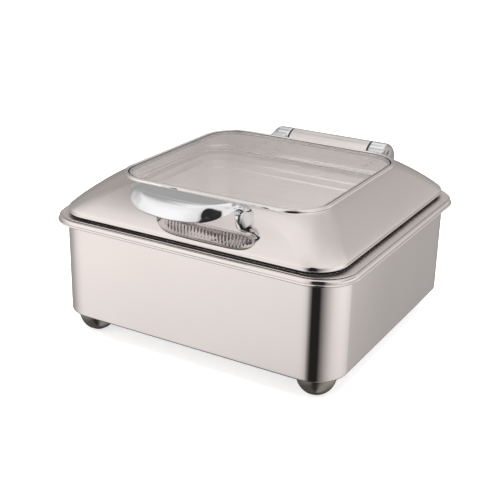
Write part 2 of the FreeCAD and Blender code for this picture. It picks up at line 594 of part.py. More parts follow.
# rocker switch
sx0 = D("switchx")
sh_f = fuse("sw_f", [box("sw_b", sx0 - 13.5, 167.0, zp - 9.4, 27.0, 19.0, 18.8), box("sw_z", sx0 - 15.5, py1 + 0.02, zp - 11.0, 31.0, 2.0, 22.0)])
node("switch_housing", cut("switch_housing", sh_f, [box("sw_c", sx0 - 11.9, 174.5, zp - 6.8, 23.8, 16.0, 13.6),
                                                    cyl("sw_p", sx0, 180.0, zp - 8.6, 1.55, 17.2)]))
rk = doc.addObject("PartDesign::Body", "rk_body")
rsk = poly_sketch(rk, "rk_sk", [(-10.2, 0.6), (-10.2, 7.2), (0.0, 5.4), (10.2, 7.2), (10.2, 0.6), (3.0, -3.5), (-3.0, -3.5)], "XY_Plane", (0.0, 0.0, -6.5))
rpad = rk.newObject("PartDesign::Pad", "rk_pad")
rpad.Profile = rsk
rpad.Length = 13.0
rk.Tip = rpad
rk.Placement = FreeCAD.Placement(V(sx0.v, 180.0, zp.v), FreeCAD.Rotation(V(0, 0, 1), -9.0))
for ax, s in (("x", sx0), ("z", zp)):
    rk.setExpression("Placement.Base." + ax, s.e)
node("switch_rocker", fuse("switch_rocker", [rk, cyl("rk_pin", sx0, 180.0, zp - 8.4, 1.5, 16.8)]))

# pilot lamp
lx = D("lampx")
pb = fuse("pl_f", [cyl("pl_t", lx, 171.0, zp, 4.9, 16.0, "Y"), cyl("pl_z", lx, py1 + 0.02, zp, 7.0, 1.6, "Y")])
node("pilot_bezel", cut("pilot_bezel", pb, [cyl("pl_b", lx, 172.5, zp, 4.0, 18.0, "Y")]))
node("pilot_lens", fuse("pilot_lens", [cyl("ln_c", lx, 173.0, zp, 3.95, 14.6, "Y"), ball("ln_s", lx, 187.6, zp, 3.95)]))

# mains inlet
mi = fuse("mi_f", [box("mi_b", tbx - 13.5, 163.0, zp - 10.0, 27.0, 23.0, 20.0),
                   prism("mi_z", 50.0, 24.0, 6.0, 0.0, 2.5)])
mi_flange = doc.getObject("mi_z")
mi_flange.Placement = FreeCAD.Placement(V(tbx.v, py1.v + 2.52, zp.v), FreeCAD.Rotation(V(1, 0, 0), 90))
mi_cuts = [box("mi_c", tbx - 12.2, 169.0, zp - 8.3, 24.4, 22.0, 16.6)]
mi_cuts += [cyl("mi_s%d" % i, tbx + sx, rear - 5.0, zp, 1.6, 14.0, "Y") for i, sx in enumerate((-20.0, 20.0))]
node("mains_inlet", cut("mains_inlet", mi, mi_cuts))
pins = [box("ip_l", tbx - 8.0, 169.02, zp - 3.5, 2.0, 15.5, 4.0), box("ip_n", tbx + 6.0, 169.02, zp - 3.5, 2.0, 15.5, 4.0),
        box("ip_e", tbx - 1.0, 169.02, zp + 0.6, 2.0, 17.0, 4.0)]
node("inlet_pins", comp("inlet_pins", pins))
iscr = [fuse("iscr%d" % i, [cyl("is_s%d" % i, tbx + sx, rear - 5.0, zp, 1.5, pt + 7.8, "Y"), cyl("is_h%d" % i, tbx + sx, py1 + 2.54, zp, 2.9, 1.6, "Y")])
        for i, sx in enumerate((-20.0, 20.0))]
node("inlet_screws", comp("inlet_screws", iscr))

# ================================================================ hinge
hy, hz = D("hingey"), D("hingez")
R1 = D("barrelrad")
br = slab("hb_slab", [(rear + 0.02, 116.0), (rear + 9.0, 116.0), (rear + 24.0, 133.0), (rear + 28.0, 152.0), (rear + 30.5, 178.0),
                      (rear + 12.0, 178.0), (rear + 12.0, 152.0), (rear + 0.02, 151.0)], 45.0)
br_cuts = [cyl("hb_c", -60.0, hy, hz, R1 + 0.03, 120.0, "X")]
for i, (sx, z) in enumerate(((-1, 125.0), (1, 125.0), (-1, 143.0), (1, 143.0))):
    br_cuts.append(cyl("hb_s%d" % i, sx * 30.0, rear - 2.0, z, 2.55, 9.0 if z < 130 else 13.0, "Y"))
for i, sx in enumerate((-1, 1)):
    br_cuts.append(cyl("hb_v%d" % i, sx * 18.0, hy - 3.0, 110.0, 4.7, 42.0))
    br_cuts.append(cyl("hb_w%d" % i, sx * 18.0, hy - 3.0, 150.0, 2.6, 30.0))
node("hinge_bracket", cut("hinge_bracket", br, br_cuts))
bscr = []
for i, (sx, z) in enumerate(((-1, 125.0), (1, 125.0), (-1, 143.0), (1, 143.0))):
    bscr.append(fuse("bscr%d" % i, [cyl("bsc_h%d" % i, sx * 30.0, rear - TH - 3.02, z, 4.2, 3.0, "Y"),
                                    cyl("bsc_s%d" % i, sx * 30.0, rear - TH - 0.5, z, 2.5, 7.5 if z < 130 else 11.0, "Y")]))
node("bracket_screws", comp("bracket_screws", bscr))

barrel = cyl("ba_o", D("barrelhalf") * (-1.0), hy, hz, R1, D("barrelhalf") * 2.0, "X")
ba_cuts = [cyl("ba_i", -80.0, hy, hz, 16.5, 160.0, "X")]
ba_cuts += [cyl("ba_s%d" % i, sx * 18.0, hy - 3.0, 150.0, 2.6, 25.0) for i, sx in enumerate((-1, 1))]
node("hinge_barrel", cut("hinge_barrel", barrel, ba_cuts))
vs = []
for i, sx in enumerate((-1, 1)):
    vs.append(fuse("vscr%d" % i, [cyl("vs_h%d" % i, sx * 18.0, hy - 3.0, 147.0, 4.4, 4.95), cyl("vs_s%d" % i, sx * 18.0, hy - 3.0, 151.0, 2.5, 20.0)]))
node("barrel_screws", comp("barrel_screws", vs))
PR, BC = D("pinrad"), D("boreclear")
bu = cut("bu_c", cyl("bu_o", D("barrelhalf") - 15.0, hy, hz, 16.45, 14.9, "X"), [cyl("bu_i", 40.0, hy, hz, PR + BC, 40.0, "X")])
node("hinge_bushes", pair("hinge_bushes", bu))
node("hinge_damper", cut("hinge_damper", cyl("dm_o", -30.0, hy, hz, 14.8, 60.0, "X"),
                         [cyl("dm_i", -40.0, hy, hz, PR + BC, 80.0, "X")]))
# low friction washers between the barrel's ends and the arms
hwa = cut("hwa_c", cyl("hwa_o", D("barrelhalf") + 0.05, hy, hz, D("washerrad"), D("washerth"), "X"), [cyl("hwa_i", 55.0, hy, hz, PR + BC, 20.0, "X")])
node("hinge_washers", pair("hinge_washers", hwa))
node("hinge_pin", cyl("hinge_pin", -88.0, hy, hz, PR, 176.0, "X"))

# ================================================================ lid
LW, LD, LR = D("lipw"), D("lipd"), D("liprad")
Lz, Lt = D("lipz"), D("lipth")
RW, RD, RRr = D("ringw"), D("ringd"), D("ringrad")
dz0, dz1 = D("domez"), D("dometop")


def dome_levels(t, drop):
    """Half-shell levels from the lip to the window; t is the wall inset and drop its fall."""
    di = D("domeinset") * 2.0
    out = [(Lz + 0.3 if t == 0.0 else Lz - 1.0, LW - di - 2.0 * t, LD - di - 2.0 * t, LR - t - 0.4),
           (dz0 - drop, LW - di - 2.0 * t, LD - di - 2.0 * t, LR - t - 0.4)]
    for u in (0.06, 0.14, 0.24, 0.36, 0.5, 0.66, 0.83, 1.0):
        f = (1.0 - (1.0 - u) ** 1.12) ** (1.0 / 1.12)
        w = (LW - di) * (1.0 - u) + (RW + 2.4) * u
        d = (LD - di) * (1.0 - u) + (RD + 2.4) * u
        out.append((dz0 * (1.0 - f) + dz1 * f - drop, w - 2.0 * t, d - 2.0 * t, (LR - 0.4) * (1.0 - u) + (RRr + 1.0) * u - t))
    return out


dome_out = stack("dome_out", dome_levels(0.0, 0.0))
dome_in = stack("dome_in", dome_levels(0.75, 0.75))
lip = prism("lip_plate", LW, LD, LR, Lz, Lz + Lt, high=0.4)
lip_in = prism("lip_in", LW - 20.0, LD - 20.0, LR - 8.0, Lz - 2.0, Lz + Lt + 0.0)
top_lo = dz1 - 2.0
win = prism("win_cut", RW - 16.0, RD - 16.0, RRr - 8.0, q(205.0), q(222.0))
ring_seat = prism("ring_seat", RW + 0.04, RD + 0.04, RRr + 0.02, top_lo, q(222.0))
dome_void = cut("dome_void", dome_in, [prism("dome_roof", RW + 20.0, RD + 20.0, RRr, top_lo - 1.0, q(222.0))])
# the dome's inner void stops under the lip plate, which keeps a 10 mm in-turned gutter
dv2 = cut("dome_void2", dome_void, [cut("gut", prism("gut_o", LW + 4.0, LD + 4.0, LR, Lz - 3.0, Lz + Lt), [lip_in])])
hx, hyy, hzz = D("handlex"), D("handley"), D("handlez")
ndir = V(0.0, -0.6600, 0.7513)       # outward normal of the front slope
frot = FreeCAD.Rotation(V(0, 0, 1), ndir)
lid_cuts = [dv2, win, ring_seat]
for i, s in enumerate((-1, 1)):
    c = doc.addObject("Part::Cylinder", "l_hs%d" % i)
    c.Radius = 2.6
    c.Height = 14.0
    place(c, hx * s, hyy + 0.66 * 7.0, hzz - 0.7513 * 7.0, frot)
    lid_cuts.append(c)
rdir = V(0.0, 0.6600, 0.7513)        # outward normal of the rear slope
rrot = FreeCAD.Rotation(V(0, 0, 1), rdir)
ARMS = [(-86.0, 164.0, 196.6), (-72.0, 176.0, 186.1), (72.0, 176.0, 186.1), (86.0, 164.0, 196.6)]
for i, (x, y, z) in enumerate(ARMS):
    c = doc.addObject("Part::Cylinder", "l_as%d" % i)
    c.Radius = 2.1
    c.Height = 16.0
    place(c, x, y - 0.66 * 8.0, z - 0.7513 * 8.0, rrot)
    lid_cuts.append(c)
node("lid_shell", cut("lid_shell", fuse("lid_f", [dome_out, lip]), lid_cuts))

band = D("ringband")
rg_out = prism("rg_out", RW, RD, RRr, top_lo + 0.02, D("ringz"), high=1.9)
rg_in = prism("rg_in", RW - band * 2.0, RD - band * 2.0, RRr - band, top_lo - 3.0, D("ringz") + 3.0)
node("window_ring", cut("window_ring", rg_out, [rg_in]))
gk = prism("gk_o", RW - band * 2.0 - 0.1, RD - band * 2.0 - 0.1, RRr - band - 0.05, top_lo + 0.02, top_lo + 0.9)
gk_in = prism("gk_i", RW - band * 2.0 - 12.0, RD - band * 2.0 - 12.0, RRr - band - 6.0, top_lo - 2.0, top_lo + 3.0)
node("window_gasket", cut("window_gasket", gk, [gk_in]))
gg = D("glassgap")
node("glass_pane", prism("glass_pane", RW - band * 2.0 - gg * 2.0, RD - band * 2.0 - gg * 2.0, RRr - band - gg, top_lo + 0.95, top_lo + 0.95 + D("glassth")))
sb = D("sealband")
so = prism("seal_o", LW - 6.0, LD - 6.0, LR - 3.0, D("sealz"), Lz - 0.02)
si = prism("seal_i", LW - 6.0 - sb * 2.0, LD - 6.0 - sb * 2.0, LR - 3.0 - sb, D("sealz") - 2.0, Lz + 2.0)
node("lid_seal", cut("lid_seal", so, [si]))

# hinge arms: rounded end caps with a saddle that follows the rear slope of the lid
ab = doc.addObject("PartDesign::Body", "arm_cap")
ask = new_sketch(ab, "arm_sk", "YZ_Plane", (hy, hz, D("armin")))
ask.addGeometry([Part.Circle(V(0, 0, 0), V(0, 0, 1), R1.v)], False)
import Sketcher
ask.addConstraint(Sketcher.Constraint("Coincident", 0, 3, -1, 1))
ci = ask.addConstraint(Sketcher.Constraint("Radius", 0, R1.v))
ask.renameConstraint(ci, "cap_rad")
ask.setExpression("Constraints.cap_rad", R1.e)
apad = ab.newObject("PartDesign::Pad", "arm_pad")
apad.Profile = ask
bind(apad, "Length", D("armout") - D("armin"))
ab.Tip = apad
doc.recompute()
names = ["Edge%d" % (i + 1) for i, e in enumerate(apad.Shape.Edges) if e.BoundBox.XMin > D("armout").v - 0.01]
af = ab.newObject("PartDesign::Fillet", "arm_round")
af.Base = (apad, names)
bind(af, "Radius", D("armround"))
ab.Tip = af
# web between the cap and the lid, its foot lying on the slope
web = doc.addObject("PartDesign::Body", "arm_web")
wsk = poly_sketch(web, "web_sk", [(156.0, 194.0), (158.6, 204.9), (166.0, 203.6), (184.0, 201.2), (197.0, 204.6), (hy, hz), (198.0, 172.6), (189.2, 172.2), (178.0, 172.0)],
                  "YZ_Plane", (0.0, 0.0, D("armin") + 2.0))
wpad = web.newObject("PartDesign::Pad", "web_pad")
wpad.Profile = wsk
bind(wpad, "Length", D("armout") - D("armin") - 6.0)
web.Tip = wpad
arm_f = fuse("arm_f", [ab, web])
arm_cuts = [dome_out, lip, cyl("arm_bore", 50.0, hy, hz, PR + 0.02, 38.4, "X")]
for i, (x, y, z) in enumerate(ARMS[2:]):
    c = doc.addObject("Part::Cylinder", "a_as%d" % i)
    c.Radius = 2.05
    c.Height = 17.0
    place(c, x, y - 0.66 * 8.0, z - 0.7513 * 8.0, rrot)
    arm_cuts.append(c)
arm_r = cut("hinge_arm_right", arm_f, arm_cuts)
node("hinge_arm_right", arm_r)
arm_l = doc.addObject("Part::Mirroring", "hinge_arm_left")
arm_src = cut("arm_left_src", arm_f, arm_cuts)
arm_l.Source = arm_src
arm_l.Normal = V(1, 0, 0)
node("hinge_arm_left", arm_l)
asc = []
for i, (x, y, z) in enumerate(ARMS):
    a = doc.addObject("Part::Cylinder", "as_h%d" % i)
    a.Radius = 3.8
    a.Height = 2.0
    place(a, x, y - 0.66 * 3.6, z - 0.7513 * 3.6, rrot)
    b = doc.addObject("Part::Cylinder", "as_s%d" % i)
    b.Radius = 2.0
    b.Height = 9.0
    place(b, x, y - 0.66 * 2.0, z - 0.7513 * 2.0, rrot)
    asc.append(fuse("asf%d" % i, [a, b]))
node("hinge_arm_screws", comp("hinge_arm_screws", asc))

# ================================================================ handle
UP = V(0.0, 0.7513, 0.66)            # up the front slope
XX = V(1, 0, 0)


def ellipse_wire(c, ax, bx, a, b, n=24):
    pts = [c + ax * (a * math.cos(2 * math.pi * k / n)) + bx * (b * math.sin(2 * math.pi * k / n)) for k in range(n)]
    s = Part.BSplineCurve()
    s.interpolate(pts, PeriodicFlag=True)
    return Part.Wire([s.toShape()])


HC = V(hx.v, hyy.v, hzz.v)
FOOT = [(-5.0, 9.6, 15.9), (1.0, 9.4, 15.5), (6.0, 8.6, 14.4), (12.0, 7.4, 12.4), (16.0, 6.6, 10.4), (18.4, 6.0, 8.4), (19.2, 5.3, 7.4)]
wires_f = [ellipse_wire(HC + ndir * h, XX, UP, a, b) for h, a, b in FOOT]
fshape = Part.makeLoft(wires_f, True, False)
doc.recompute()
fshape = fshape.cut(dome_out.Shape)
hole = Part.makeCylinder(2.55, 14.0, HC - ndir * 2.0, ndir)
fshape = fshape.cut(hole)
fsol = max(fshape.Solids, key=lambda s_: s_.Volume)
mir = FreeCAD.Matrix()
mir.A11 = -1.0
node("handle_foot_right", feature("handle_foot_right", fsol))
node("handle_foot_left", feature("handle_foot_left", fsol.mirror(V(0, 0, 0), V(1, 0, 0))))

gt, grd, gbk, glo, gfr = (D(k).v for k in ("griptop", "gripridge", "gripback", "griplow", "gripfront"))


def section(R_, S_, B_, K_, bulge, push):
    """Closed loop of 24 points: ridge R, foot of the bevel S, lower front edge B, rear top edge K."""
    R_, S_, B_, K_ = V(*R_), V(*S_), V(*B_), V(*K_)
    c = (R_ + B_ + K_) * (1.0 / 3.0)
    n_ = (B_ - R_).cross(K_ - R_)
    n_.normalize()
    R_ = R_ + (R_ - K_).normalize() * push[0]
    B_ = B_ + (B_ - c).normalize() * push[1]
    K_ = K_ + (K_ - c).normalize() * push[2]
    pts = []
    for p_, q_, ts, bl in ((R_, S_, (0.0, 0.5), 0.0), (S_, B_, (0.0, 0.14, 0.32, 0.55, 0.76, 0.91), bulge[0]),
                           (B_, K_, (0.0, 0.05, 0.14, 0.32, 0.52, 0.72, 0.88, 0.96), bulge[1]), (K_, R_, (0.0, 0.06, 0.18, 0.36, 0.56, 0.76, 0.9, 0.97), 0.0)):
        e_ = q_ - p_
        o_ = e_.cross(n_)
        o_.normalize()
        if o_.dot(c - p_) > 0:
            o_ = o_ * -1.0
        for t in ts:
            pts.append(p_ + e_ * t + o_ * (4.0 * t * (1.0 - t) * bl))
    m = len(pts)
    return [(pts[i - 1] + pts[i] * 4.0 + pts[(i + 1) % m]) * (1.0 / 6.0) for i in range(m)]


def oval(a, b, n=24):
    # starts near the top outer corner and runs the same way round as section()
    return [(a * math.cos(math.radians(62.0 - 360.0 * k / n)), b * math.sin(math.radians(62.0 - 360.0 * k / n))) for k in range(n)]


def oval_at(c, T, a, b):
    """Oval loop round the point c, square to the direction T."""
    T = V(*T)
    T.normalize()
    out = T.cross(V(0, 0, 1))
    out.normalize()
    up_ = out.cross(T)
    if up_.z < 0:
        up_ = up_ * -1.0
    return [V(*c) + out * p_ + up_ * q_ for p_, q_ in oval(a, b)]


# sections from the middle of the bar to its right end, then the turned-down end
HALF = [
    section((0, grd, gt), (0, grd - 5.4, gt - 2.2), (0, gfr, glo), (0, gbk, gt), (0.9, 1.0), (0.3, 0.8, 0.5)),
    section((22, grd + 0.8, gt), (22.1, grd - 4.5, gt - 2.2), (22.5, gfr + 1.33, glo + 0.95), (21.5, gbk, gt), (0.9, 1.0), (0.3, 0.8, 0.5)),
    section((36, grd + 2.8, gt), (36.8, grd - 2.4, gt - 2.2), (38.3, gfr + 4.14, glo + 2.54), (34.5, gbk, gt), (0.8, 0.9), (0.3, 0.8, 0.5)),
    section((44.5, grd + 5.4, gt), (46.2, grd + 0.2, gt - 2.1), (48.0, gfr + 7.27, glo + 4.44), (42.5, gbk - 0.2, gt), (0.7, 0.8), (0.3, 0.7, 0.5)),
    section((51.5, grd + 10.2, gt), (54.6, grd + 4.6, gt - 2.0), (57.27, gfr + 12.84, glo + 7.62), (50.0, gbk - 0.6, gt), (0.6, 0.7), (0.3, 0.7, 0.5)),
    section((57.2, grd + 17.5, gt), (61.4, grd + 10.2, gt - 2.1), (64.11, gfr + 20.04, glo + 11.17), (56.8, gbk - 1.2, gt), (0.5, 0.6), (0.2, 0.6, 0.3)),
    section((62.6, grd + 24.0, gt - 0.1), (67.2, grd + 16.6, gt - 2.4), (69.33, gfr + 28.59, glo + 14.2), (62.8, gbk + 0.4, gt - 0.3), (0.4, 0.6), (0.1, 0.5, 0.2)),
    oval_at((70.3, -184.2, 226.2), (0.62, 0.70, -0.25), 4.6, 3.9),
    oval_at((72.0, -178.6, 223.4), (0.16, 0.85, -0.55), 4.6, 4.3),
    oval_at((70.0, -174.0, 220.6), (-0.10, 0.78, -0.64), 4.6, 5.2),
]


def curve_wire(pts):
    s = Part.BSplineCurve()
    s.interpolate(pts, PeriodicFlag=True)
    return Part.Wire([s.toShape()])


end_c = HC + ndir * 19.25
end_loop = [end_c + XX * a + UP * b for a, b in oval(4.4, 6.4)]
# one more section close above each end, so the bar leaves its foot squarely
near_c = HC + ndir * 21.4 + XX * 1.5 - UP * 0.6
near_loop = [near_c + XX * a + UP * b for a, b in oval(4.45, 6.1)]
half = HALF + [near_loop, end_loop]
sec = [[V(-p.x, p.y, p.z) for p in loop] for loop in reversed(half[1:])] + half
grip = Part.makeLoft([curve_wire(p) for p in sec], True, False)
if grip.Volume < 0:
    grip = grip.reversed()
node("handle_grip", feature("handle_grip", grip))

hs, hw = [], []
for s in (-1, 1):
    c = V(HC.x * s, HC.y, HC.z)
    hs.append(Part.makeCylinder(4.4, 3.0, c - ndir * 6.2, ndir).fuse(Part.makeCylinder(2.5, 14.0, c - ndir * 4.0, ndir)))
    w_ = Part.makeCylinder(6.5, 1.0, c - ndir * 3.15, ndir).cut(Part.makeCylinder(2.6, 6.0, c - ndir * 5.0, ndir))
    hw.append(w_)
node("handle_screws", feature("handle_screws", Part.makeCompound(hs)))
node("handle_washers", feature("handle_washers", Part.makeCompound(hw)))

# ================================================================ check and write
doc.recompute()
os.makedirs("parts", exist_ok=True)
bad = []
for o in doc.Objects:
    st = [str(s_) for s_ in o.State]
    if "Invalid" in st or "Error" in st:
        bad.append("%s: %s" % (o.Label, o.getStatusString()))
for label, o in NODES:
    if o.Shape.isNull() or not o.Shape.isValid() or len(o.Shape.Solids) < 1:
        bad.append("%s: shape null %s valid %s" % (label, o.Shape.isNull(), (not o.Shape.isNull()) and o.Shape.isValid()))
if bad:
    raise RuntimeError("failed objects: " + "; ".join(bad))
lo = [1e9] * 3
hi = [-1e9] * 3
for label, o in NODES:
    o.Shape.exportStep("parts/" + label + ".step")
    b = o.Shape.BoundBox
    for k, (a, c) in enumerate(((b.XMin, b.XMax), (b.YMin, b.YMax), (b.ZMin, b.ZMax))):
        lo[k] = min(lo[k], a)
        hi[k] = max(hi[k], c)
    print("%-20s solids %2d volume %10.1f  x %7.2f %7.2f y %7.2f %7.2f z %7.2f %7.2f" % (
        label, len(o.Shape.Solids), o.Shape.Volume, b.XMin, b.XMax, b.YMin, b.YMax, b.ZMin, b.ZMax))
print("nodes", len(NODES), "box", [round(v, 2) for v in lo], [round(v, 2) for v in hi])
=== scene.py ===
import bpy, bmesh, math, random
from mathutils import Vector, Matrix


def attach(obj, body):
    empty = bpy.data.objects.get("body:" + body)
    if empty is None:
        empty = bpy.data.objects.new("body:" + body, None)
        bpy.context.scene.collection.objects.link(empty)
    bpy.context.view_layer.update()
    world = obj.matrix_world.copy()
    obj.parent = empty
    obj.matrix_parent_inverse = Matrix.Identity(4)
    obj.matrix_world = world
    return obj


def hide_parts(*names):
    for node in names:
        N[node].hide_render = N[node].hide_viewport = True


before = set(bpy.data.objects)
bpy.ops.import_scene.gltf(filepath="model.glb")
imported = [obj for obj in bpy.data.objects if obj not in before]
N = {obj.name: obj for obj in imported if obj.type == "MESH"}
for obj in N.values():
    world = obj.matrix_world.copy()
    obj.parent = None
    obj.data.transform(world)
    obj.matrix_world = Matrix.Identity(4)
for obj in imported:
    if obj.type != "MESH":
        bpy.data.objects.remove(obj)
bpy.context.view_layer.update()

# Electric chafing dish.  Lengths below are in millimetres in the dish's own frame,
# where the body is centred on y = CY; mm() turns a point into metres in the row frame.
CY = -4.0
random.seed(7)


def mm(x, y, z):
    return Vector((x / 1000.0, (y + CY) / 1000.0, z / 1000.0))


# ------------------------------------------------------------------ materials
def new_mat(name):
    m = bpy.data.materials.new(name)
    m.use_nodes = True
    nt = m.node_tree
    bsdf = next(n for n in nt.nodes if n.type == "BSDF_PRINCIPLED")
    return m, nt, bsdf


def tex_coord(nt, scale=(1, 1, 1)):
    tc = nt.nodes.new("ShaderNodeTexCoord")
    mp = nt.nodes.new("ShaderNodeMapping")
    mp.inputs["Scale"].default_value = scale
    nt.links.new(tc.outputs["Object"], mp.inputs["Vector"])
    return mp.outputs["Vector"]


def noise(nt, vec, scale, detail=3.0, rough=0.5):
    n = nt.nodes.new("ShaderNodeTexNoise")
    n.inputs["Scale"].default_value = scale
    n.inputs["Detail"].default_value = detail
    n.inputs["Roughness"].default_value = rough
    nt.links.new(vec, n.inputs["Vector"])
    return n.outputs["Fac"]


def ramp(nt, fac, stops):
    r = nt.nodes.new("ShaderNodeValToRGB")
    cr = r.color_ramp
    while len(cr.elements) > 1:
        cr.elements.remove(cr.elements[-1])
    for i, (p, c) in enumerate(stops):
        e = cr.elements[0] if i == 0 else cr.elements.new(p)
        e.position = p
        c = (c, c, c, 1.0) if isinstance(c, (int, float)) else (c[0], c[1], c[2], 1.0)
        e.color = c
    nt.links.new(fac, r.inputs["Fac"])
    return r.outputs["Color"]


def bump(nt, bsdf, height, strength, distance, normal=None):
    b = nt.nodes.new("ShaderNodeBump")
    b.inputs["Strength"].default_value = strength
    b.inputs["Distance"].default_value = distance
    nt.links.new(height, b.inputs["Height"])
    if normal is not None:
        nt.links.new(normal, b.inputs["Normal"])
    nt.links.new(b.outputs["Normal"], bsdf.inputs["Normal"])
    return b.outputs["Normal"]


def math_node(nt, op, a, b=None):
    n = nt.nodes.new("ShaderNodeMath")
    n.operation = op
    for i, v in enumerate((a, b)):
        if v is None:
            continue
        if isinstance(v, (int, float)):
            n.inputs[i].default_value = v
        else:
            nt.links.new(v, n.inputs[i])
    return n.outputs[0]


def polished(name, base, rough_lo, rough_hi, wave=0.0, wave_scale=5.0, scratch=0.06):
    """Buffed stainless: faint tone drift, roughness drift, hairline buffing marks and a slow waviness of the sheet."""
    m, nt, b = new_mat(name)
    b.inputs["Metallic"].default_value = 1.0
    v = tex_coord(nt)
    tone = noise(nt, v, 9.0, 3.0)
    lo = tuple(c * 0.975 for c in base)
    nt.links.new(ramp(nt, tone, [(0.3, lo), (0.7, base)]), b.inputs["Base Color"])
    # hairlines: noise stretched along one direction
    hv = tex_coord(nt, (60.0, 900.0, 900.0))
    hair = noise(nt, hv, 1.0, 2.0)
    rr_ = noise(nt, v, 26.0, 4.0)
    mixr = math_node(nt, "ADD", math_node(nt, "MULTIPLY", hair, 0.35), math_node(nt, "MULTIPLY", rr_, 0.65))
    nt.links.new(ramp(nt, mixr, [(0.3, rough_lo), (0.72, rough_hi)]), b.inputs["Roughness"])
    n0 = None
    if wave > 0:
        wb = nt.nodes.new("ShaderNodeBump")
        wb.inputs["Strength"].default_value = 1.0
        wb.inputs["Distance"].default_value = wave
        nt.links.new(noise(nt, v, wave_scale, 1.0), wb.inputs["Height"])
        n0 = wb.outputs["Normal"]
    bump(nt, b, hair, scratch, 0.00002, n0)
    return m


def brushed(name, base, rough=0.3, scale=(8.0, 700.0, 700.0), depth=0.25, aniso=0.5, metal=1.0):
    m, nt, b = new_mat(name)
    b.inputs["Metallic"].default_value = metal
    b.inputs["Anisotropic"].default_value = aniso
    v = tex_coord(nt, scale)
    h = noise(nt, v, 1.0, 4.0, 0.6)
    h2 = noise(nt, tex_coord(nt), 14.0, 3.0)
    lo = tuple(c * 0.86 for c in base)
    mixed = math_node(nt, "ADD", math_node(nt, "MULTIPLY", h, 0.7), math_node(nt, "MULTIPLY", h2, 0.3))
    nt.links.new(ramp(nt, mixed, [(0.35, lo), (0.65, base)]), b.inputs["Base Color"])
    nt.links.new(ramp(nt, mixed, [(0.3, rough * 0.8), (0.7, rough * 1.2)]), b.inputs["Roughness"])
    bump(nt, b, h, depth, 0.00004)
    return m


def plastic(name, base, rough=0.45, grain=900.0, depth=0.15, spec=0.5):
    m, nt, b = new_mat(name)
    v = tex_coord(nt)
    g = noise(nt, v, grain, 2.0)
    t = noise(nt, v, 40.0, 2.0)
    nt.links.new(ramp(nt, t, [(0.3, tuple(c * 0.85 for c in base)), (0.7, tuple(min(1.0, c * 1.1) for c in base))]), b.inputs["Base Color"])
    nt.links.new(ramp(nt, g, [(0.3, rough * 0.9), (0.7, min(1.0, rough * 1.12))]), b.inputs["Roughness"])
    b.inputs["Specular IOR Level"].default_value = spec
    bump(nt, b, g, depth, 0.00006)
    return m


STEEL = (0.800, 0.752, 0.732)
CHROME = (0.845, 0.862, 0.885)
M = {
    "steel": polished("polished_stainless", STEEL, 0.045, 0.075, wave=0.00035, wave_scale=4.0),
    "chrome": polished("bright_chrome", CHROME, 0.025, 0.045, scratch=0.03),
    "ring": polished("polished_ring", (0.86, 0.835, 0.825), 0.05, 0.09, scratch=0.04),
    "pan": brushed("pan_stainless", (0.82, 0.775, 0.755), rough=0.36, scale=(14.0, 500.0, 500.0), depth=0.12, metal=0.78),
    "flange": polished("flange_satin", (0.80, 0.755, 0.735), 0.34, 0.44, scratch=0.02),
    "liner": brushed("lid_inside_satin", (0.84, 0.79, 0.77), rough=0.40, scale=(10.0, 420.0, 420.0), depth=0.10, aniso=0.2, metal=0.70),
    # hinge cap ends: a darker copy of the chrome; its darker base colour is painted shade on the outward end faces
    "cap_end": polished("hinge_end_painted_shade", (0.50, 0.475, 0.47), 0.10, 0.17, scratch=0.04),
    "satin": brushed("satin_stainless", (0.86, 0.825, 0.81), rough=0.30, scale=(6.0, 1400.0, 1400.0), depth=0.35, aniso=0.6),
    # foot cups: polished steel with a darkened base colour, painted shade standing in for the shadowed floor they
    # reflect
    "dark": polished("feet_steel_painted_shade", (0.50, 0.46, 0.405), 0.16, 0.24, scratch=0.05),
    "zinc": brushed("zinc_plate", (0.56, 0.57, 0.585), rough=0.36, scale=(120.0, 120.0, 120.0), depth=0.15, aniso=0.0),
    "alu": brushed("cast_aluminium", (0.62, 0.62, 0.63), rough=0.5, scale=(350.0, 350.0, 350.0), depth=0.5, aniso=0.0),
    "element": polished("heat_blued_sheath", (0.20, 0.19, 0.19), 0.32, 0.45, scratch=0.1),
    "seal": plastic("seal_rubber", (0.010, 0.0095, 0.009), rough=0.5, grain=1200.0, depth=0.2, spec=0.15),
    "rubber": plastic("pad_rubber", (0.018, 0.018, 0.018), rough=0.75, grain=700.0, depth=0.5),
    "black": plastic("black_moulding", (0.016, 0.016, 0.017), rough=0.5, grain=1500.0, depth=0.25),
    "gloss": plastic("gloss_black_moulding", (0.012, 0.012, 0.013), rough=0.16, grain=400.0, depth=0.02),
    "panel": plastic("satin_black_paint", (0.024, 0.024, 0.025), rough=0.36, grain=1100.0, depth=0.3),
    "white": plastic("white_print", (0.82, 0.82, 0.80), rough=0.5, grain=800.0, depth=0.02),
    "ivory": plastic("ceramic_and_acetal", (0.74, 0.72, 0.66), rough=0.5, grain=500.0, depth=0.1),
    "wire": plastic("silicone_sheath", (0.42, 0.36, 0.27), rough=0.6, grain=900.0, depth=0.2),
    "wool": plastic("pressed_mineral_fibre", (0.62, 0.60, 0.54), rough=0.95, grain=260.0, depth=1.0, spec=0.1),
    "brass": brushed("brass", (0.72, 0.53, 0.24), rough=0.28, scale=(60.0, 400.0, 400.0), depth=0.1, aniso=0.2),
}


def glass_mat():
    m, nt, b = new_mat("tempered_glass")
    b.inputs["Base Color"].default_value = (0.965, 0.925, 0.910, 1.0)
    b.inputs["Transmission Weight"].default_value = 0.55
    b.inputs["IOR"].default_value = 1.5
    b.inputs["Alpha"].default_value = 0.26
    v = tex_coord(nt)
    nt.links.new(ramp(nt, noise(nt, v, 30.0, 3.0), [(0.4, 0.0), (0.75, 0.012)]), b.inputs["Roughness"])
    return m


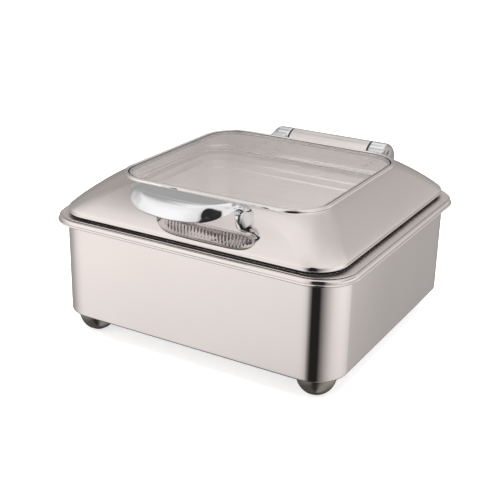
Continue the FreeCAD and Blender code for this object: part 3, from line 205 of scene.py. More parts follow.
def lamp_mat():
    m, nt, b = new_mat("amber_lens")
    v = tex_coord(nt)
    nt.links.new(ramp(nt, noise(nt, v, 300.0, 2.0), [(0.3, (0.80, 0.20, 0.03)), (0.7, (0.90, 0.30, 0.05))]), b.inputs["Base Color"])
    b.inputs["Roughness"].default_value = 0.12
    b.inputs["Transmission Weight"].default_value = 0.35
    b.inputs["Coat Weight"].default_value = 0.6
    return m


M["glass"] = glass_mat()
M["lamp"] = lamp_mat()

# ------------------------------------------------------------------ mesh helpers
COL = bpy.context.scene.collection


def make(name, verts, faces, mat, body, replaces=(), slot=None, sharp=35.0, weighted=True, bevel=None):
    me = bpy.data.meshes.new(name)
    me.from_pydata([tuple(v) for v in verts], [], faces)
    me.validate()
    bm = bmesh.new()
    bm.from_mesh(me)
    bmesh.ops.remove_doubles(bm, verts=bm.verts, dist=1e-7)
    bmesh.ops.recalc_face_normals(bm, faces=bm.faces)
    bm.to_mesh(me)
    bm.free()
    me.materials.append(mat)
    for p in me.polygons:
        p.use_smooth = True
    me.set_sharp_from_angle(angle=math.radians(sharp))
    o = bpy.data.objects.new(name, me)
    COL.objects.link(o)
    if bevel:
        bv = o.modifiers.new("edge", "BEVEL")
        bv.width = bevel
        bv.segments = 2
        bv.limit_method = "ANGLE"
        bv.angle_limit = math.radians(40)
    if weighted:
        wn = o.modifiers.new("normals", "WEIGHTED_NORMAL")
        wn.keep_sharp = True
        wn.weight = 80
    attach(o, body)
    if replaces:
        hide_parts(*replaces)
    return o


def rring(w, d, r, nc=28, ns=14):
    """Points round a rounded rectangle, anticlockwise seen from above, same count whatever its size."""
    a, b = w / 2.0, d / 2.0
    r = max(0.5, min(r, a - 0.5, b - 0.5))
    pts = []
    sides = [((-a + r, -b), (a - r, -b), (a - r, -b + r), -90), ((a, -b + r), (a, b - r), (a - r, b - r), 0),
             ((a - r, b), (-a + r, b), (-a + r, b - r), 90), ((-a, b - r), (-a, -b + r), (-a + r, -b + r), 180)]
    for (x0, y0), (x1, y1), (cx, cy), a0 in sides:
        for k in range(ns):
            # closer together near the corners
            t = 0.5 - 0.5 * math.cos(math.pi * k / ns)
            t = 0.5 * t + 0.5 * k / ns
            pts.append((x0 + (x1 - x0) * t, y0 + (y1 - y0) * t))
        for k in range(nc):
            an = math.radians(a0 + 90.0 * k / nc)
            pts.append((cx + r * math.cos(an), cy + r * math.sin(an)))
    return pts


def skin(name, levels, mat, body, closed=True, **kw):
    """Skin through rounded-rectangle rings (w, d, r, z).  closed joins last to first; otherwise both ends are capped."""
    rings = [[mm(x, y, z) for x, y in rring(w, d, r)] for w, d, r, z in levels]
    n = len(rings[0])
    verts = [v for ring_ in rings for v in ring_]
    faces = []
    m = len(rings)
    for i in range(m if closed else m - 1):
        j = (i + 1) % m
        for k in range(n):
            k2 = (k + 1) % n
            faces.append((i * n + k, i * n + k2, j * n + k2, j * n + k))
    if not closed:
        faces.append(tuple(range(n)))
        faces.append(tuple((m - 1) * n + k for k in range(n)))
    return make(name, verts, faces, mat, body, **kw)


def arc(ci, cz, r, a0, a1, n):
    """Profile points (outward, z) on an arc."""
    return [(ci + r * math.cos(math.radians(a0 + (a1 - a0) * k / n)), cz + r * math.sin(math.radians(a0 + (a1 - a0) * k / n))) for k in range(n + 1)]


def from_offsets(w, d, r, prof):
    """Profile points (outward offset, z) on a base rectangle, as levels; corners stay concentric."""
    return [(w + 2 * o, d + 2 * o, max(r + o, 3.0), z) for o, z in prof]


def lathe(name, prof, origin, axis, mat, body, n=96, caps=True, **kw):
    """Solid of revolution; prof is (radius, height along axis)."""
    axis = Vector(axis).normalized()
    u = axis.orthogonal().normalized()
    v = axis.cross(u)
    o = Vector(origin)
    verts, faces = [], []
    for r, h in prof:
        for k in range(n):
            t = 2 * math.pi * k / n
            verts.append(o + (u * math.cos(t) + v * math.sin(t)) * (max(r, 1e-4) / 1000.0) + axis * (h / 1000.0))
    for i in range(len(prof) - 1):
        for k in range(n):
            k2 = (k + 1) % n
            faces.append((i * n + k, i * n + k2, (i + 1) * n + k2, (i + 1) * n + k))
    if caps:
        faces.append(tuple(range(n)))
        faces.append(tuple((len(prof) - 1) * n + k for k in range(n)))
    return verts, faces


def merge(parts):
    verts, faces = [], []
    for v, f in parts:
        o = len(verts)
        verts += v
        faces += [tuple(i + o for i in q) for q in f]
    return verts, faces


# ------------------------------------------------------------------ body
WW, WD, WR = 397.2, 368.6, 42.2
prof = [(-62.0, 30.5)]
prof += [(-40.0, 30.5), (-20.0, 30.5), (-8.0, 30.5)]
prof += arc(-2.5, 33.0, 2.5, -90, 0, 7)
prof += [(0.0, 36.0), (0.0, 44.0), (0.0, 60.0), (0.0, 80.0), (0.0, 100.0), (0.0, 120.0), (0.0, 140.0), (0.0, 156.0), (0.0, 163.58)]
prof += [(-1.0, 163.58), (-1.0, 140.0), (-1.0, 100.0), (-1.0, 60.0)]
prof += [(-1.0, 33.5)] + arc(-2.5, 33.0, 1.5, 0, -90, 4)[1:]
prof += [(-8.0, 31.5), (-40.0, 31.5), (-62.0, 31.5)]
lv = []
for o, z in prof:
    r = WR + o if o > -20 else 42.2 - 20 + (26.0 - 22.2) * (-20 - o) / 42.0
    lv.append((WW + 2 * o, WD + 2 * o, r, z))
skin("body_tub", lv, M["steel"], "base", replaces=("body_shell",), slot="mirror_steel")

RW, RD, RR = 420.0, 391.4, 50.2
prof = [(-12.4, 164.58), (-8.0, 164.58), (-6.3, 164.5), (-5.7, 164.1), (-5.0, 163.98), (-4.5, 163.96), (-4.0, 163.86), (-3.4, 163.62), (-2.8, 163.4), (-2.35, 162.85), (-2.02, 162.2), (-1.8, 161.4), (-1.66, 160.6), (-1.58, 159.9), (-1.56, 159.35), (-1.72, 159.05), (-1.9, 158.95), (-1.82, 158.82)]
prof += [(-1.2, 158.98), (-0.95, 158.9), (-0.72, 158.68), (-0.44, 158.36), (-0.2, 158.04), (-0.06, 157.72), (-0.0, 157.35), (-0.06, 156.98), (-0.26, 156.64), (-0.55, 156.42), (-0.95, 156.32), (-1.5, 156.32)]
prof += [(-2.1, 156.4), (-2.5, 156.9), (-2.6, 158.2), (-2.62, 160.0), (-2.9, 161.9), (-3.7, 163.0), (-5.2, 163.6), (-8.0, 163.66), (-12.4, 163.66)]
lv = []
for o, z in prof:
    lv.append((RW + 2 * o, RD + 2 * o, RR + o if o > -5 else RR + o + (41.2 - 37.8) * (-5 - o) / 7.4, z))
skin("rim_band", lv, M["steel"], "base", replaces=("body_rim",), slot="mirror_steel")

# ------------------------------------------------------------------ water pan (fixed) and food pan (lifts out)
pt = 0.9
lv = [(328.8, 299.8, 23.5, 62.9), (334.0, 305.0, 26.2, 64.0), (336.6, 307.6, 27.8, 67.5), (337.0, 308.0, 28.1, 72.0), (340.5, 311.5, 28.6, 115.0)]
lv += [(343.6, 314.6, 29.0, 154.0), (344.2, 315.2, 29.3, 156.6), (345.6, 316.6, 30.0, 158.1), (348.4, 319.4, 31.4, 158.6)]
lv += [(353.0, 324.0, 33.0, 158.6), (358.0, 329.0, 34.8, 158.6), (360.2, 331.2, 35.7, 159.3), (361.0, 332.0, 36.1, 160.6)]
lv += [(361.0, 332.0, 36.1, 163.6), (361.6, 332.6, 36.4, 164.8), (363.6, 334.6, 37.4, 165.5)]
lv += [(376.0, 347.0, 40.0, 165.5), (392.0, 363.0, 43.0, 165.5), (402.0, 373.4, 44.4, 165.5), (408.8, 380.2, 45.1, 165.5), (409.4, 380.8, 45.25, 165.38), (409.6, 381.0, 45.3, 165.1), (409.6, 381.0, 45.3, 164.64)]
lv += [(390.0, 361.0, 42.0, 164.62), (364.4, 335.4, 37.9, 164.62), (362.8, 333.8, 37.0, 163.4), (362.8, 333.8, 37.0, 160.0), (361.0, 332.0, 36.4, 157.9)]
lv += [(348.0, 319.0, 31.0, 157.7), (345.8, 316.8, 30.0, 157.0), (345.4, 316.4, 29.9, 154.0), (338.8, 309.8, 29.0, 70.0), (335.8, 306.8, 27.0, 64.4), (329.8, 300.8, 24.0, 62.0)]
wp_ob = skin("water_bath_pan", lv, M["pan"], "base", closed=False, replaces=("water_pan",), slot="pan_steel")
wp_ob.data.materials.append(M["flange"])
for p_ in wp_ob.data.polygons:
    if p_.center.z > 0.1644:
        p_.material_index = 1

FZ = 158.9
lv = [(306.4, 277.4, 16.8, 95.5), (316.0, 287.0, 21.0, 96.4), (320.0, 291.0, 24.0, 99.5), (320.6, 291.4, 24.3, 104.5), (326.0, 297.0, 24.8, 125.0)]
lv += [(329.6, 300.6, 25.0, 144.0), (330.6, 301.6, 25.3, 147.6), (332.4, 303.4, 26.2, 148.9), (334.4, 305.4, 27.0, 149.5), (335.4, 306.4, 27.2, 150.8), (336.2, 307.2, 27.3, 156.0)]
lv += [(336.8, 307.8, 27.6, 158.4), (338.4, 309.4, 28.4, 159.5), (340.4, 311.4, 29.2, 159.7)]
lv += [(346.0, 317.0, 31.0, 159.7), (351.6, 322.6, 33.2, 159.7), (353.4, 324.4, 33.8, 159.55), (354.0, 325.0, 34.0, 159.2), (353.8, 324.8, 33.9, 158.95)]
lv += [(346.0, 317.0, 31.0, 158.9), (339.4, 310.4, 28.6, 158.9), (338.0, 309.0, 28.0, 157.6), (337.6, 308.6, 28.0, 152.0), (336.4, 307.4, 27.6, 149.6), (332.6, 303.6, 26.2, 148.4)]
lv += [(330.8, 301.8, 25.6, 146.4), (322.2, 293.2, 25.0, 105.0), (321.0, 292.0, 24.4, 99.0), (316.4, 287.4, 21.2, 95.6), (307.0, 278.0, 17.2, 94.7)]
skin("serving_pan", lv, M["pan"], "food_pan", closed=False, replaces=("food_pan",), slot="pan_steel")

# ------------------------------------------------------------------ lid
LW, LD, LR = 388.0, 376.0, 41.8
DZ0, DZ1 = 174.6, 214.0
RGW, RGD, RGR = 289.5, 279.7, 49.5


def dome(u, t=0.0, drop=0.0):
    f = (1.0 - (1.0 - u) ** 1.12) ** (1.0 / 1.12)
    w = (LW - 0.8) * (1.0 - u) + (RGW + 2.4) * u
    d = (LD - 0.8) * (1.0 - u) + (RGD + 2.4) * u
    r = (LR - 0.4) * (1.0 - u) + (RGR + 1.0) * u
    return (w - 2 * t, d - 2 * t, r - t, DZ0 * (1.0 - f) + DZ1 * f - drop)


lv = from_offsets(LW, LD, LR, [(-10.0, 170.3), (-5.0, 170.3), (-2.2, 170.25), (-1.5, 169.98)] + arc(-0.7, 170.35, 0.7, -120, 60, 9))
lv += from_offsets(LW, LD, LR, [(-0.40, 171.2), (-0.40, 171.7), (-0.40, 172.6), (-0.40, 173.8)])
us = [0.0, 0.004, 0.011, 0.022, 0.038, 0.06, 0.085, 0.115, 0.15, 0.19, 0.235, 0.285, 0.34, 0.40, 0.46, 0.52, 0.58, 0.64, 0.70, 0.76, 0.82, 0.87, 0.91, 0.945, 0.975, 1.0]
lv += [dome(u) for u in us]
lv += [(RGW + 0.04, RGD + 0.04, RGR, 214.0), (RGW + 0.04, RGD + 0.04, RGR, 212.0), (RGW - 8.0, RGD - 8.0, RGR - 4.0, 212.0), (RGW - 16.0, RGD - 16.0, RGR - 8.0, 212.0)]
lv += [(RGW - 16.0, RGD - 16.0, RGR - 8.0, 211.1), (RGW - 6.0, RGD - 6.0, RGR - 3.0, 211.05)]
lv += [dome(u, 0.75, 0.75) for u in (0.93, 0.88, 0.82, 0.74, 0.66, 0.58, 0.5, 0.42, 0.34, 0.26, 0.19, 0.13, 0.08, 0.045, 0.02, 0.0)]
lv += from_offsets(LW, LD, LR, [(-1.15, 172.0), (-1.6, 171.35), (-5.0, 171.3), (-10.0, 171.3)])
dome_ob = skin("lid_dome", lv, M["steel"], "lid", replaces=("lid_shell",), slot="mirror_steel", weighted=False)
# the inside of the dome is left satin
dome_ob.data.materials.append(M["liner"])
for p_ in dome_ob.data.polygons:
    if p_.normal.z < -0.12 and p_.center.z > 0.1719:
        p_.material_index = 1

# window frame: a bead with a soft crown, seated in the top of the dome
prof = [(0.0, 212.02), (0.0, 214.4)] + [(-1.3 + 1.3 * math.cos(math.radians(t)), 215.0 + 1.55 * math.sin(math.radians(t))) for t in range(0, 151, 12)]
prof += [(-2.62, 215.55)] + [(-3.98 + 1.36 * math.cos(math.radians(t)), 215.0 + 1.75 * math.sin(math.radians(t))) for t in range(32, 181, 12)] + [(-5.38, 214.6), (-5.4, 213.6), (-5.4, 212.02)]
skin("window_frame", from_offsets(RGW, RGD, RGR, prof), M["ring"], "lid", replaces=("window_ring",), slot="ring_chrome")

gw, gd, gr = RGW - 11.4, RGD - 11.4, RGR - 5.7
lv = from_offsets(gw, gd, gr, [(-60.0, 212.95), (-30.0, 212.95), (-6.0, 212.95), (-0.5, 212.95), (0.0, 213.4), (0.0, 215.1), (-0.45, 215.45), (-6.0, 215.45), (-30.0, 215.45), (-60.0, 215.45)])
skin("window_glass", lv, M["glass"], "lid", closed=False, replaces=("glass_pane",), slot="window_glass")
# rubber lip round the pane
prof = [(-5.42, 215.3), (-5.42, 215.7), (-5.6, 215.93), (-6.05, 216.0), (-6.55, 215.85), (-6.75, 215.3)]
skin("pane_lip", from_offsets(RGW, RGD, RGR, prof), M["seal"], "lid", slot="seal_rubber")

prof = [(0.0, 170.28), (0.0, 167.4), (0.15, 166.5), (-0.3, 165.9), (-1.0, 165.8), (-1.5, 166.3), (-1.8, 167.6), (-2.2, 168.9), (-4.0, 169.2), (-4.0, 170.28)]
skin("lid_seal_strip", from_offsets(LW - 6.0, LD - 6.0, LR - 3.0, prof), M["seal"], "lid", replaces=("lid_seal",), slot="seal_rubber")

# ------------------------------------------------------------------ handle
GT, GRD, GBK, GLO, GFR = 230.0, -208.0, -182.0, 208.2, -223.7
HX, HY, HZ = 65.2, -157.0, 202.8
ND = Vector((0.0, -0.6600, 0.7513))
UP = Vector((0.0, 0.7513, 0.66))
XX = Vector((1.0, 0.0, 0.0))


def section(R_, S_, B_, K_, bulge, push):
    """Loop of 24 points: ridge R, foot of the bevel S, lower front edge B, rear top edge K."""
    R_, S_, B_, K_ = Vector(R_), Vector(S_), Vector(B_), Vector(K_)
    c = (R_ + B_ + K_) / 3.0
    n_ = (B_ - R_).cross(K_ - R_).normalized()
    R_ = R_ + (R_ - K_).normalized() * push[0]
    B_ = B_ + (B_ - c).normalized() * (push[1] + 1.3)
    K_ = K_ + (K_ - c).normalized() * push[2]
    pts = []
    for p_, q_, ts, bl in ((R_, S_, (0.0, 0.5), 0.3), (S_, B_, (0.0, 0.14, 0.32, 0.55, 0.76, 0.91), bulge[0]),
                           (B_, K_, (0.0, 0.05, 0.14, 0.32, 0.52, 0.72, 0.88, 0.96), bulge[1]), (K_, R_, (0.0, 0.06, 0.18, 0.36, 0.56, 0.76, 0.9, 0.97), 0.0)):
        e_ = q_ - p_
        o_ = e_.cross(n_).normalized()
        if o_.dot(c - p_) > 0:
            o_ = -o_
        for t in ts:
            pts.append(p_ + e_ * t + o_ * (4.0 * t * (1.0 - t) * bl))
    m = len(pts)
    for a_, keep in ((0.25, 0), (0.16, 1)):
        pts = [pts[i] if keep and i == 0 else pts[i - 1] * a_ + pts[i] * (1.0 - 2.0 * a_) + pts[(i + 1) % m] * a_ for i in range(m)]
    for _ in range(3):
        pts = [(pts[i - 1] + pts[i] * 2.0 + pts[i + 1]) / 4.0 if 6 < i < 10 else pts[i] for i in range(m)]
    return pts


def oval(a, b, n=24):
    return [(a * math.cos(math.radians(62.0 - 360.0 * k / n)), b * math.sin(math.radians(62.0 - 360.0 * k / n))) for k in range(n)]


def oval_at(c, T, a, b):
    T = Vector(T).normalized()
    out_ = T.cross(Vector((0, 0, 1))).normalized()
    up_ = out_.cross(T)
    if up_.z < 0:
        up_ = -up_
    return [Vector(c) + out_ * p_ + up_ * q_ for p_, q_ in oval(a, b)]


HALF = [
    section((0, GRD, GT), (0, GRD - 5.4, GT - 2.2), (0, GFR, GLO), (0, GBK, GT), (2.0, 1.0), (0.3, 0.8, 0.5)),
    section((22, GRD + 0.8, GT), (22.1, GRD - 4.5, GT - 2.2), (22.5, GFR + 1.33, GLO + 0.95), (21.5, GBK, GT), (2.0, 1.0), (0.3, 0.8, 0.5)),
    section((36, GRD + 2.8, GT), (36.8, GRD - 2.4, GT - 2.2), (38.3, GFR + 4.14, GLO + 2.54), (34.5, GBK, GT), (1.3, 0.9), (0.3, 0.8, 0.5)),
    section((44.5, GRD + 5.4, GT), (45.8, GRD + 1.6, GT - 1.3), (48.0, GFR + 7.27, GLO + 4.44), (42.5, GBK - 0.2, GT), (0.5, 0.8), (0.3, 0.7, 0.5)),
    section((51.5, GRD + 10.2, GT), (53.8, GRD + 6.4, GT - 1.3), (57.27, GFR + 12.84, GLO + 7.62), (50.0, GBK - 0.6, GT), (0.3, 0.7), (0.3, 0.7, 0.5)),
    section((57.2, GRD + 17.5, GT), (61.4, GRD + 10.2, GT - 2.1), (64.11, GFR + 20.04, GLO + 11.17), (56.8, GBK - 1.2, GT), (0.5, 0.6), (0.2, 0.6, 0.3)),
    section((62.6, GRD + 24.0, GT - 0.1), (67.2, GRD + 16.6, GT - 2.4), (69.33, GFR + 28.59, GLO + 14.2), (62.8, GBK + 0.4, GT - 0.3), (0.4, 0.6), (0.1, 0.5, 0.2)),
    oval_at((70.3, -184.2, 226.2), (0.62, 0.70, -0.25), 4.6, 3.9),
    oval_at((72.0, -178.6, 223.4), (0.16, 0.85, -0.55), 4.6, 4.3),
    oval_at((70.0, -174.0, 220.6), (-0.10, 0.78, -0.64), 4.6, 5.2),
]


def catmull(p0, p1, p2, p3, t):
    return 0.5 * ((2 * p1) + (-p0 + p2) * t + (2 * p0 - 5 * p1 + 4 * p2 - p3) * t * t + (-p0 + 3 * p1 - 3 * p2 + p3) * t ** 3)


def refine_loop(pts, k):
    n = len(pts)
    return [catmull(pts[i - 1], pts[i], pts[(i + 1) % n], pts[(i + 2) % n], j / k) for i in range(n) for j in range(k)]


HC = Vector((HX, HY, HZ))
end_c = HC + ND * 19.25
end_loop = [end_c + XX * a + UP * b for a, b in oval(4.4, 6.4)]
near_c = HC + ND * 21.4 + XX * 1.5 - UP * 0.6
near_loop = [near_c + XX * a + UP * b for a, b in oval(4.45, 6.1)]
half_secs = HALF + [near_loop, end_loop]
secs = [[Vector((-p.x, p.y, p.z)) for p in s] for s in reversed(half_secs[1:])] + half_secs
secs = [refine_loop(s, 3) for s in secs]
n = len(secs[0])
fine = []
KSUB = 14
for i in range(len(secs) - 1):
    a0 = secs[max(i - 1, 0)]
    a3 = secs[min(i + 2, len(secs) - 1)]
    for j in range(KSUB):
        t = j / KSUB
        fine.append([catmull(a0[k], secs[i][k], secs[i + 1][k], a3[k], t) for k in range(n)])
fine.append(secs[-1])
# finger ribs along the underside of the grip
for ring_ in fine:
    c = sum(ring_, Vector()) / n
    for k in range(n):
        p = ring_[k]
        side = k / n * 3.0          # 0-1 front face, 1-2 underside, 2-3 top
        if 1.0 < side < 2.0 and abs(p.x) < 62.0:
            edge = math.sin(math.pi * (side - 1.0)) ** 0.5
            ends = min(1.0, (62.0 - abs(p.x)) / 10.0)
            wave = 0.5 - 0.5 * math.cos(2 * math.pi * (p.x + 0.22 * (p.y + 200.0)) / 4.9)
            ring_[k] = p + (c - p).normalized() * (2.0 * edge * ends * wave ** 1.8)
verts = [mm(p.x, p.y, p.z) for ring_ in fine for p in ring_]
faces = []
for i in range(len(fine) - 1):
    for k in range(n):
        k2 = (k + 1) % n
        faces.append((i * n + k, i * n + k2, (i + 1) * n + k2, (i + 1) * n + k))
faces += [tuple(range(n)), tuple((len(fine) - 1) * n + k for k in range(n))]
make("grip_bar", verts, faces, M["chrome"], "lid", replaces=("handle_grip",), slot="ring_chrome", weighted=False, sharp=60)

FOOT = [(-5.0, 9.6, 15.9), (1.0, 9.4, 15.5), (6.0, 8.6, 14.4), (12.0, 7.4, 12.4), (16.0, 6.6, 10.4), (18.4, 6.0, 8.4), (19.2, 5.3, 7.4)]


def foot_mesh(side):
    lvls = []
    F = [FOOT[0]] + FOOT + [(19.35, 4.4, 6.4)]
    for i in range(1, len(F) - 2):
        for j in range(8):
            t = j / 8.0
            lvls.append([catmull(F[i - 1][k], F[i][k], F[i + 1][k], F[i + 2][k], t) for k in range(3)])
    lvls += [[19.2, 5.3, 7.4], [19.33, 4.9, 6.9]]
    m = 72
    vs, fs = [], []
    for h, a, b in lvls:
        if h < -3.5:
            continue
        for k in range(m):
            t = 2 * math.pi * k / m
            p = HC + ND * h + XX * (a * math.cos(t)) + UP * (b * math.sin(t))
            vs.append(mm(p.x * side, p.y, p.z))
    rows = len(vs) // m
    for i in range(rows - 1):
        for k in range(m):
            k2 = (k + 1) % m
            fs.append((i * m + k, i * m + k2, (i + 1) * m + k2, (i + 1) * m + k))
    fs += [tuple(range(m)), tuple((rows - 1) * m + k for k in range(m))]
    return vs, fs


for side, nm in ((1.0, "right"), (-1.0, "left")):
    v_, f_ = foot_mesh(side)
    make("handle_boss_" + nm, v_, f_, M["chrome"], "lid", replaces=("handle_foot_" + nm,), slot="ring_chrome", weighted=False, sharp=70)

# ------------------------------------------------------------------ hinge
HGY, HGZ, BR = 210.5, 188.2, 21.5
BH = 62.7
AI, AO, AF = 65.3, 95.5, 12.0
p = [(16.5, 0.0), (20.9, 0.0), (21.35, 0.2), (21.5, 0.6), (21.5, 4.0), (21.5, 2 * BH - 4.0), (21.5, 2 * BH - 0.6), (21.35, 2 * BH - 0.2), (20.9, 2 * BH), (16.5, 2 * BH), (16.5, 0.0)]
v_, f_ = lathe("barrel", p, mm(-BH, HGY, HGZ), (1, 0, 0), None, None, n=144, caps=False)
make("hinge_sleeve", v_, f_, M["satin"], "base", replaces=("hinge_barrel",), slot="satin_steel")

for side, nm in ((1.0, "right"), (-1.0, "left")):
    L = AO - AI
    p = [(6.02, 0.0), (20.6, 0.0), (21.2, 0.25), (21.5, 0.9), (21.5, 3.0), (21.5, 8.0), (21.5, 14.0), (21.5, L - AF - 1.0)]
    p += [(BR - AF + AF * math.cos(math.radians(a)), L - AF + AF * math.sin(math.radians(a))) for a in range(0, 91, 6)]
    p += [(6.0, L), (3.0, L), (0.0, L)]
    ax = (side, 0, 0)
    v1 = lathe("cap", p, mm(AI * side, HGY, HGZ), ax, None, None, n=144)
    # web with rounded shoulders, from the cap down to the lid's slope
    web = [(158.9, 203.2), (159.6, 204.4), (161.2, 204.9), (166.0, 203.9), (172.0, 202.8), (178.0, 202.1), (184.0, 202.3), (190.0, 203.6), (197.0, 205.2), (204.0, 203.5), (210.5, 196.0),
           (210.5, 180.0), (203.0, 173.2), (198.0, 172.4), (193.6, 172.3), (190.0, 173.4), (184.8, 179.2), (176.0, 187.4), (168.0, 194.6)]
    vs, fs = [], []
    m = len(web)
    cyw, czw = sum(a for a, b in web) / m, sum(b for a, b in web) / m
    for x, s in ((AI + 2.2, 0.90), (AI + 2.9, 0.965), (AI + 4.2, 1.0), (AO - 8.2, 1.0), (AO - 5.8, 0.965), (AO - 4.6, 0.90)):
        for a, b in web:
            lim = 1.0 if a < 186 else s
            vs.append(mm(x * side, cyw + (a - cyw) * (s if a > 165 else 1.0), czw + (b - czw) * (s if b > 195 else 1.0)))
    for i in range(5):
        for k in range(m):
            k2 = (k + 1) % m
            fs.append((i * m + k, i * m + k2, (i + 1) * m + k2, (i + 1) * m + k))
    fs += [tuple(range(m)), tuple(5 * m + k for k in range(m))]
    v_, f_ = merge([v1, (vs, fs)])
    cap_ob = make("hinge_cap_" + nm, v_, f_, M["chrome"], "lid", replaces=("hinge_arm_" + nm,), slot="ring_chrome", sharp=40)
    # the outward end faces of each cap take the darker copy: painted shade on the cap ends
    cap_ob.data.materials.append(M["cap_end"])
    for p_ in cap_ob.data.polygons:
        if p_.normal.x * side > 0.45:
            p_.material_index = 1

# ------------------------------------------------------------------ feet
FX, FY, FR_, FF_, FL_, FT_ = 162.6, 148.3, 25.7, 6.5, 1.5, 30.48
parts, pads = [], []
for sx in (-1, 1):
    for sy in (-1, 1):
        p = [(6.6, FL_), (FF_ + 0.6, FL_)]
        for k in range(1, 33):
            t = math.radians(90.0 * (1 - k / 32.0))
            p.append((FF_ + (FR_ - FF_) * math.cos(t), FT_ - (FT_ - FL_) * math.sin(t)))
        p += [(FR_ - 0.3, FT_), (6.6, FT_), (6.6, FL_)]
        parts.append(lathe("f", p, mm(sx * FX, sy * FY, 0.0), (0, 0, 1), None, None, n=96, caps=False))
        q = [(0.0, 0.0), (7.2, 0.0), (7.8, 0.15), (8.2, 0.6), (8.2, 1.3), (8.0, 1.45), (6.5, 1.45), (6.5, 9.6), (0.0, 9.6)]
        pads.append(lathe("p", q, mm(sx * FX, sy * FY, 0.0), (0, 0, 1), None, None, n=64))
v_, f_ = merge(parts)
# the foot cups' dark colour is painted shade, standing in for the shadowed floor the polished steel reflects
make("foot_cups", v_, f_, M["dark"], "base", replaces=("foot_domes",), slot="dark_steel")
v_, f_ = merge(pads)
make("foot_rubbers", v_, f_, M["rubber"], "base", replaces=("foot_pads",), slot="foot_rubber")

# ------------------------------------------------------------------ dial
KX, KZ = -60.0, 80.0
prof_k = [(8.4, 0.0), (18.4, 0.0), (19.4, 0.35), (20.0, 1.2), (20.0, 2.2), (19.5, 3.0), (18.0, 3.5), (16.2, 4.0)]
nk = 144
vs, fs = [], []


def flute(k, h):
    t = 360.0 * k / nk
    d = abs(((t - 15.0) % 30.0) - 15.0)
    return 0.0 if d < 8.5 else -1.1 * math.sin(math.radians(90.0 * (d - 8.5) / 6.5)) ** 2


rows = []
for r, h in prof_k:
    rows.append([(r, h)] * nk)
for h, r in ((5.0, 15.6), (7.0, 15.2), (10.0, 14.9), (13.0, 14.6), (15.2, 14.3)):
    rows.append([(r + flute(k, h), h) for k in range(nk)])
for a in (20, 40, 60, 80):
    rows.append([(12.9 + 1.4 * math.cos(math.radians(a)) + flute(k, 0) * (1 - a / 90.0), 15.6 + 2.0 * math.sin(math.radians(a))) for k in range(nk)])
rows.append([(12.0, 17.6)] * nk)
rows.append([(11.4, 17.3)] * nk)
rows.append([(6.0, 17.2)] * nk)
base = mm(KX, 188.4, KZ)
for row in rows:
    for k, (r, h) in enumerate(row):
        t = 2 * math.pi * k / nk
        vs.append(base + Vector((r / 1000.0 * math.cos(t), h / 1000.0, r / 1000.0 * math.sin(t))))
for i in range(len(rows) - 1):
    for k in range(nk):
        k2 = (k + 1) % nk
        fs.append((i * nk + k, i * nk + k2, (i + 1) * nk + k2, (i + 1) * nk + k))
fs += [tuple(range(nk)), tuple((len(rows) - 1) * nk + k for k in range(nk))]
make("dial_knob", vs, fs, M["black"], "dial", replaces=("thermostat_knob",), slot="black_plastic", sharp=50)


def plate_text(name, body_text, x, y, z, size, mat, body, thick=0.00015, turn=0.0):
    cu = bpy.data.curves.new(name, "FONT")
    cu.body = body_text
    cu.size = size
    cu.extrude = thick
    cu.align_x = "CENTER"
    cu.align_y = "CENTER"
    o = bpy.data.objects.new(name + "_src", cu)
    COL.objects.link(o)
    bpy.context.view_layer.update()
    dg = bpy.context.evaluated_depsgraph_get()
    me = bpy.data.meshes.new_from_object(o.evaluated_get(dg))
    bpy.data.objects.remove(o)
    # face +Y, read from behind the dish
    rot = Matrix.Rotation(math.radians(180.0), 4, "Z") @ Matrix.Rotation(math.radians(90.0), 4, "X") @ Matrix.Rotation(turn, 4, "Z")
    me.transform(Matrix.Translation(mm(x, y, z)) @ rot)
    me.materials.clear()
    me.materials.append(mat)
    ob = bpy.data.objects.new(name, me)
    COL.objects.link(ob)
    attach(ob, body)
    return ob


PY = 185.82 + 0.12
# dial scale: plain numbers and ticks on the panel
for i, s in enumerate(("0", "1", "2", "3", "4", "5")):
    a = math.radians(225.0 - 54.0 * i)
    # seen from behind, x runs to the left
    plate_text("scale_%s" % s, s, KX - 26.0 * math.cos(a), PY, KZ + 26.0 * math.sin(a), 0.0052, M["white"], "base")
ticks = []
for i in range(26):
    a = math.radians(225.0 - 10.8 * i)
    r0, r1 = (21.2, 23.2) if i % 5 == 0 else (21.4, 22.5)
    ca, sa = -math.cos(a), math.sin(a)
    w = 0.32 if i % 5 == 0 else 0.2
    pts = []
    for r, s in ((r0, -w), (r0, w), (r1, w), (r1, -w)):
        pts.append((KX + r * ca - s * sa, KZ + r * sa + s * ca))
    vs = [mm(x, PY - 0.05, z) for x, z in pts] + [mm(x, PY + 0.15, z) for x, z in pts]
    ticks.append((vs, [(0, 1, 2, 3), (4, 5, 6, 7), (0, 1, 5, 4), (1, 2, 6, 5), (2, 3, 7, 6), (3, 0, 4, 7)]))
v_, f_ = merge(ticks)
make("scale_ticks", v_, f_, M["white"], "base", slot="panel_paint", weighted=False)
# pointer line on the knob, at the zero of the scale
a = math.radians(225.0)
ca, sa = -math.cos(a), math.sin(a)
vs = []
for h in (17.05, 17.75):
    for r, s in ((4.0, -0.55), (4.0, 0.55), (12.6, 0.55), (12.6, -0.55)):
        vs.append(mm(KX + r * ca - s * sa, 188.4 + (h if r < 12 else h - 0.15), KZ + r * sa + s * ca))
make("dial_pointer", vs, [(0, 1, 2, 3), (4, 5, 6, 7), (0, 1, 5, 4), (1, 2, 6, 5), (2, 3, 7, 6), (3, 0, 4, 7)], M["white"], "dial", slot="black_plastic", weighted=False)

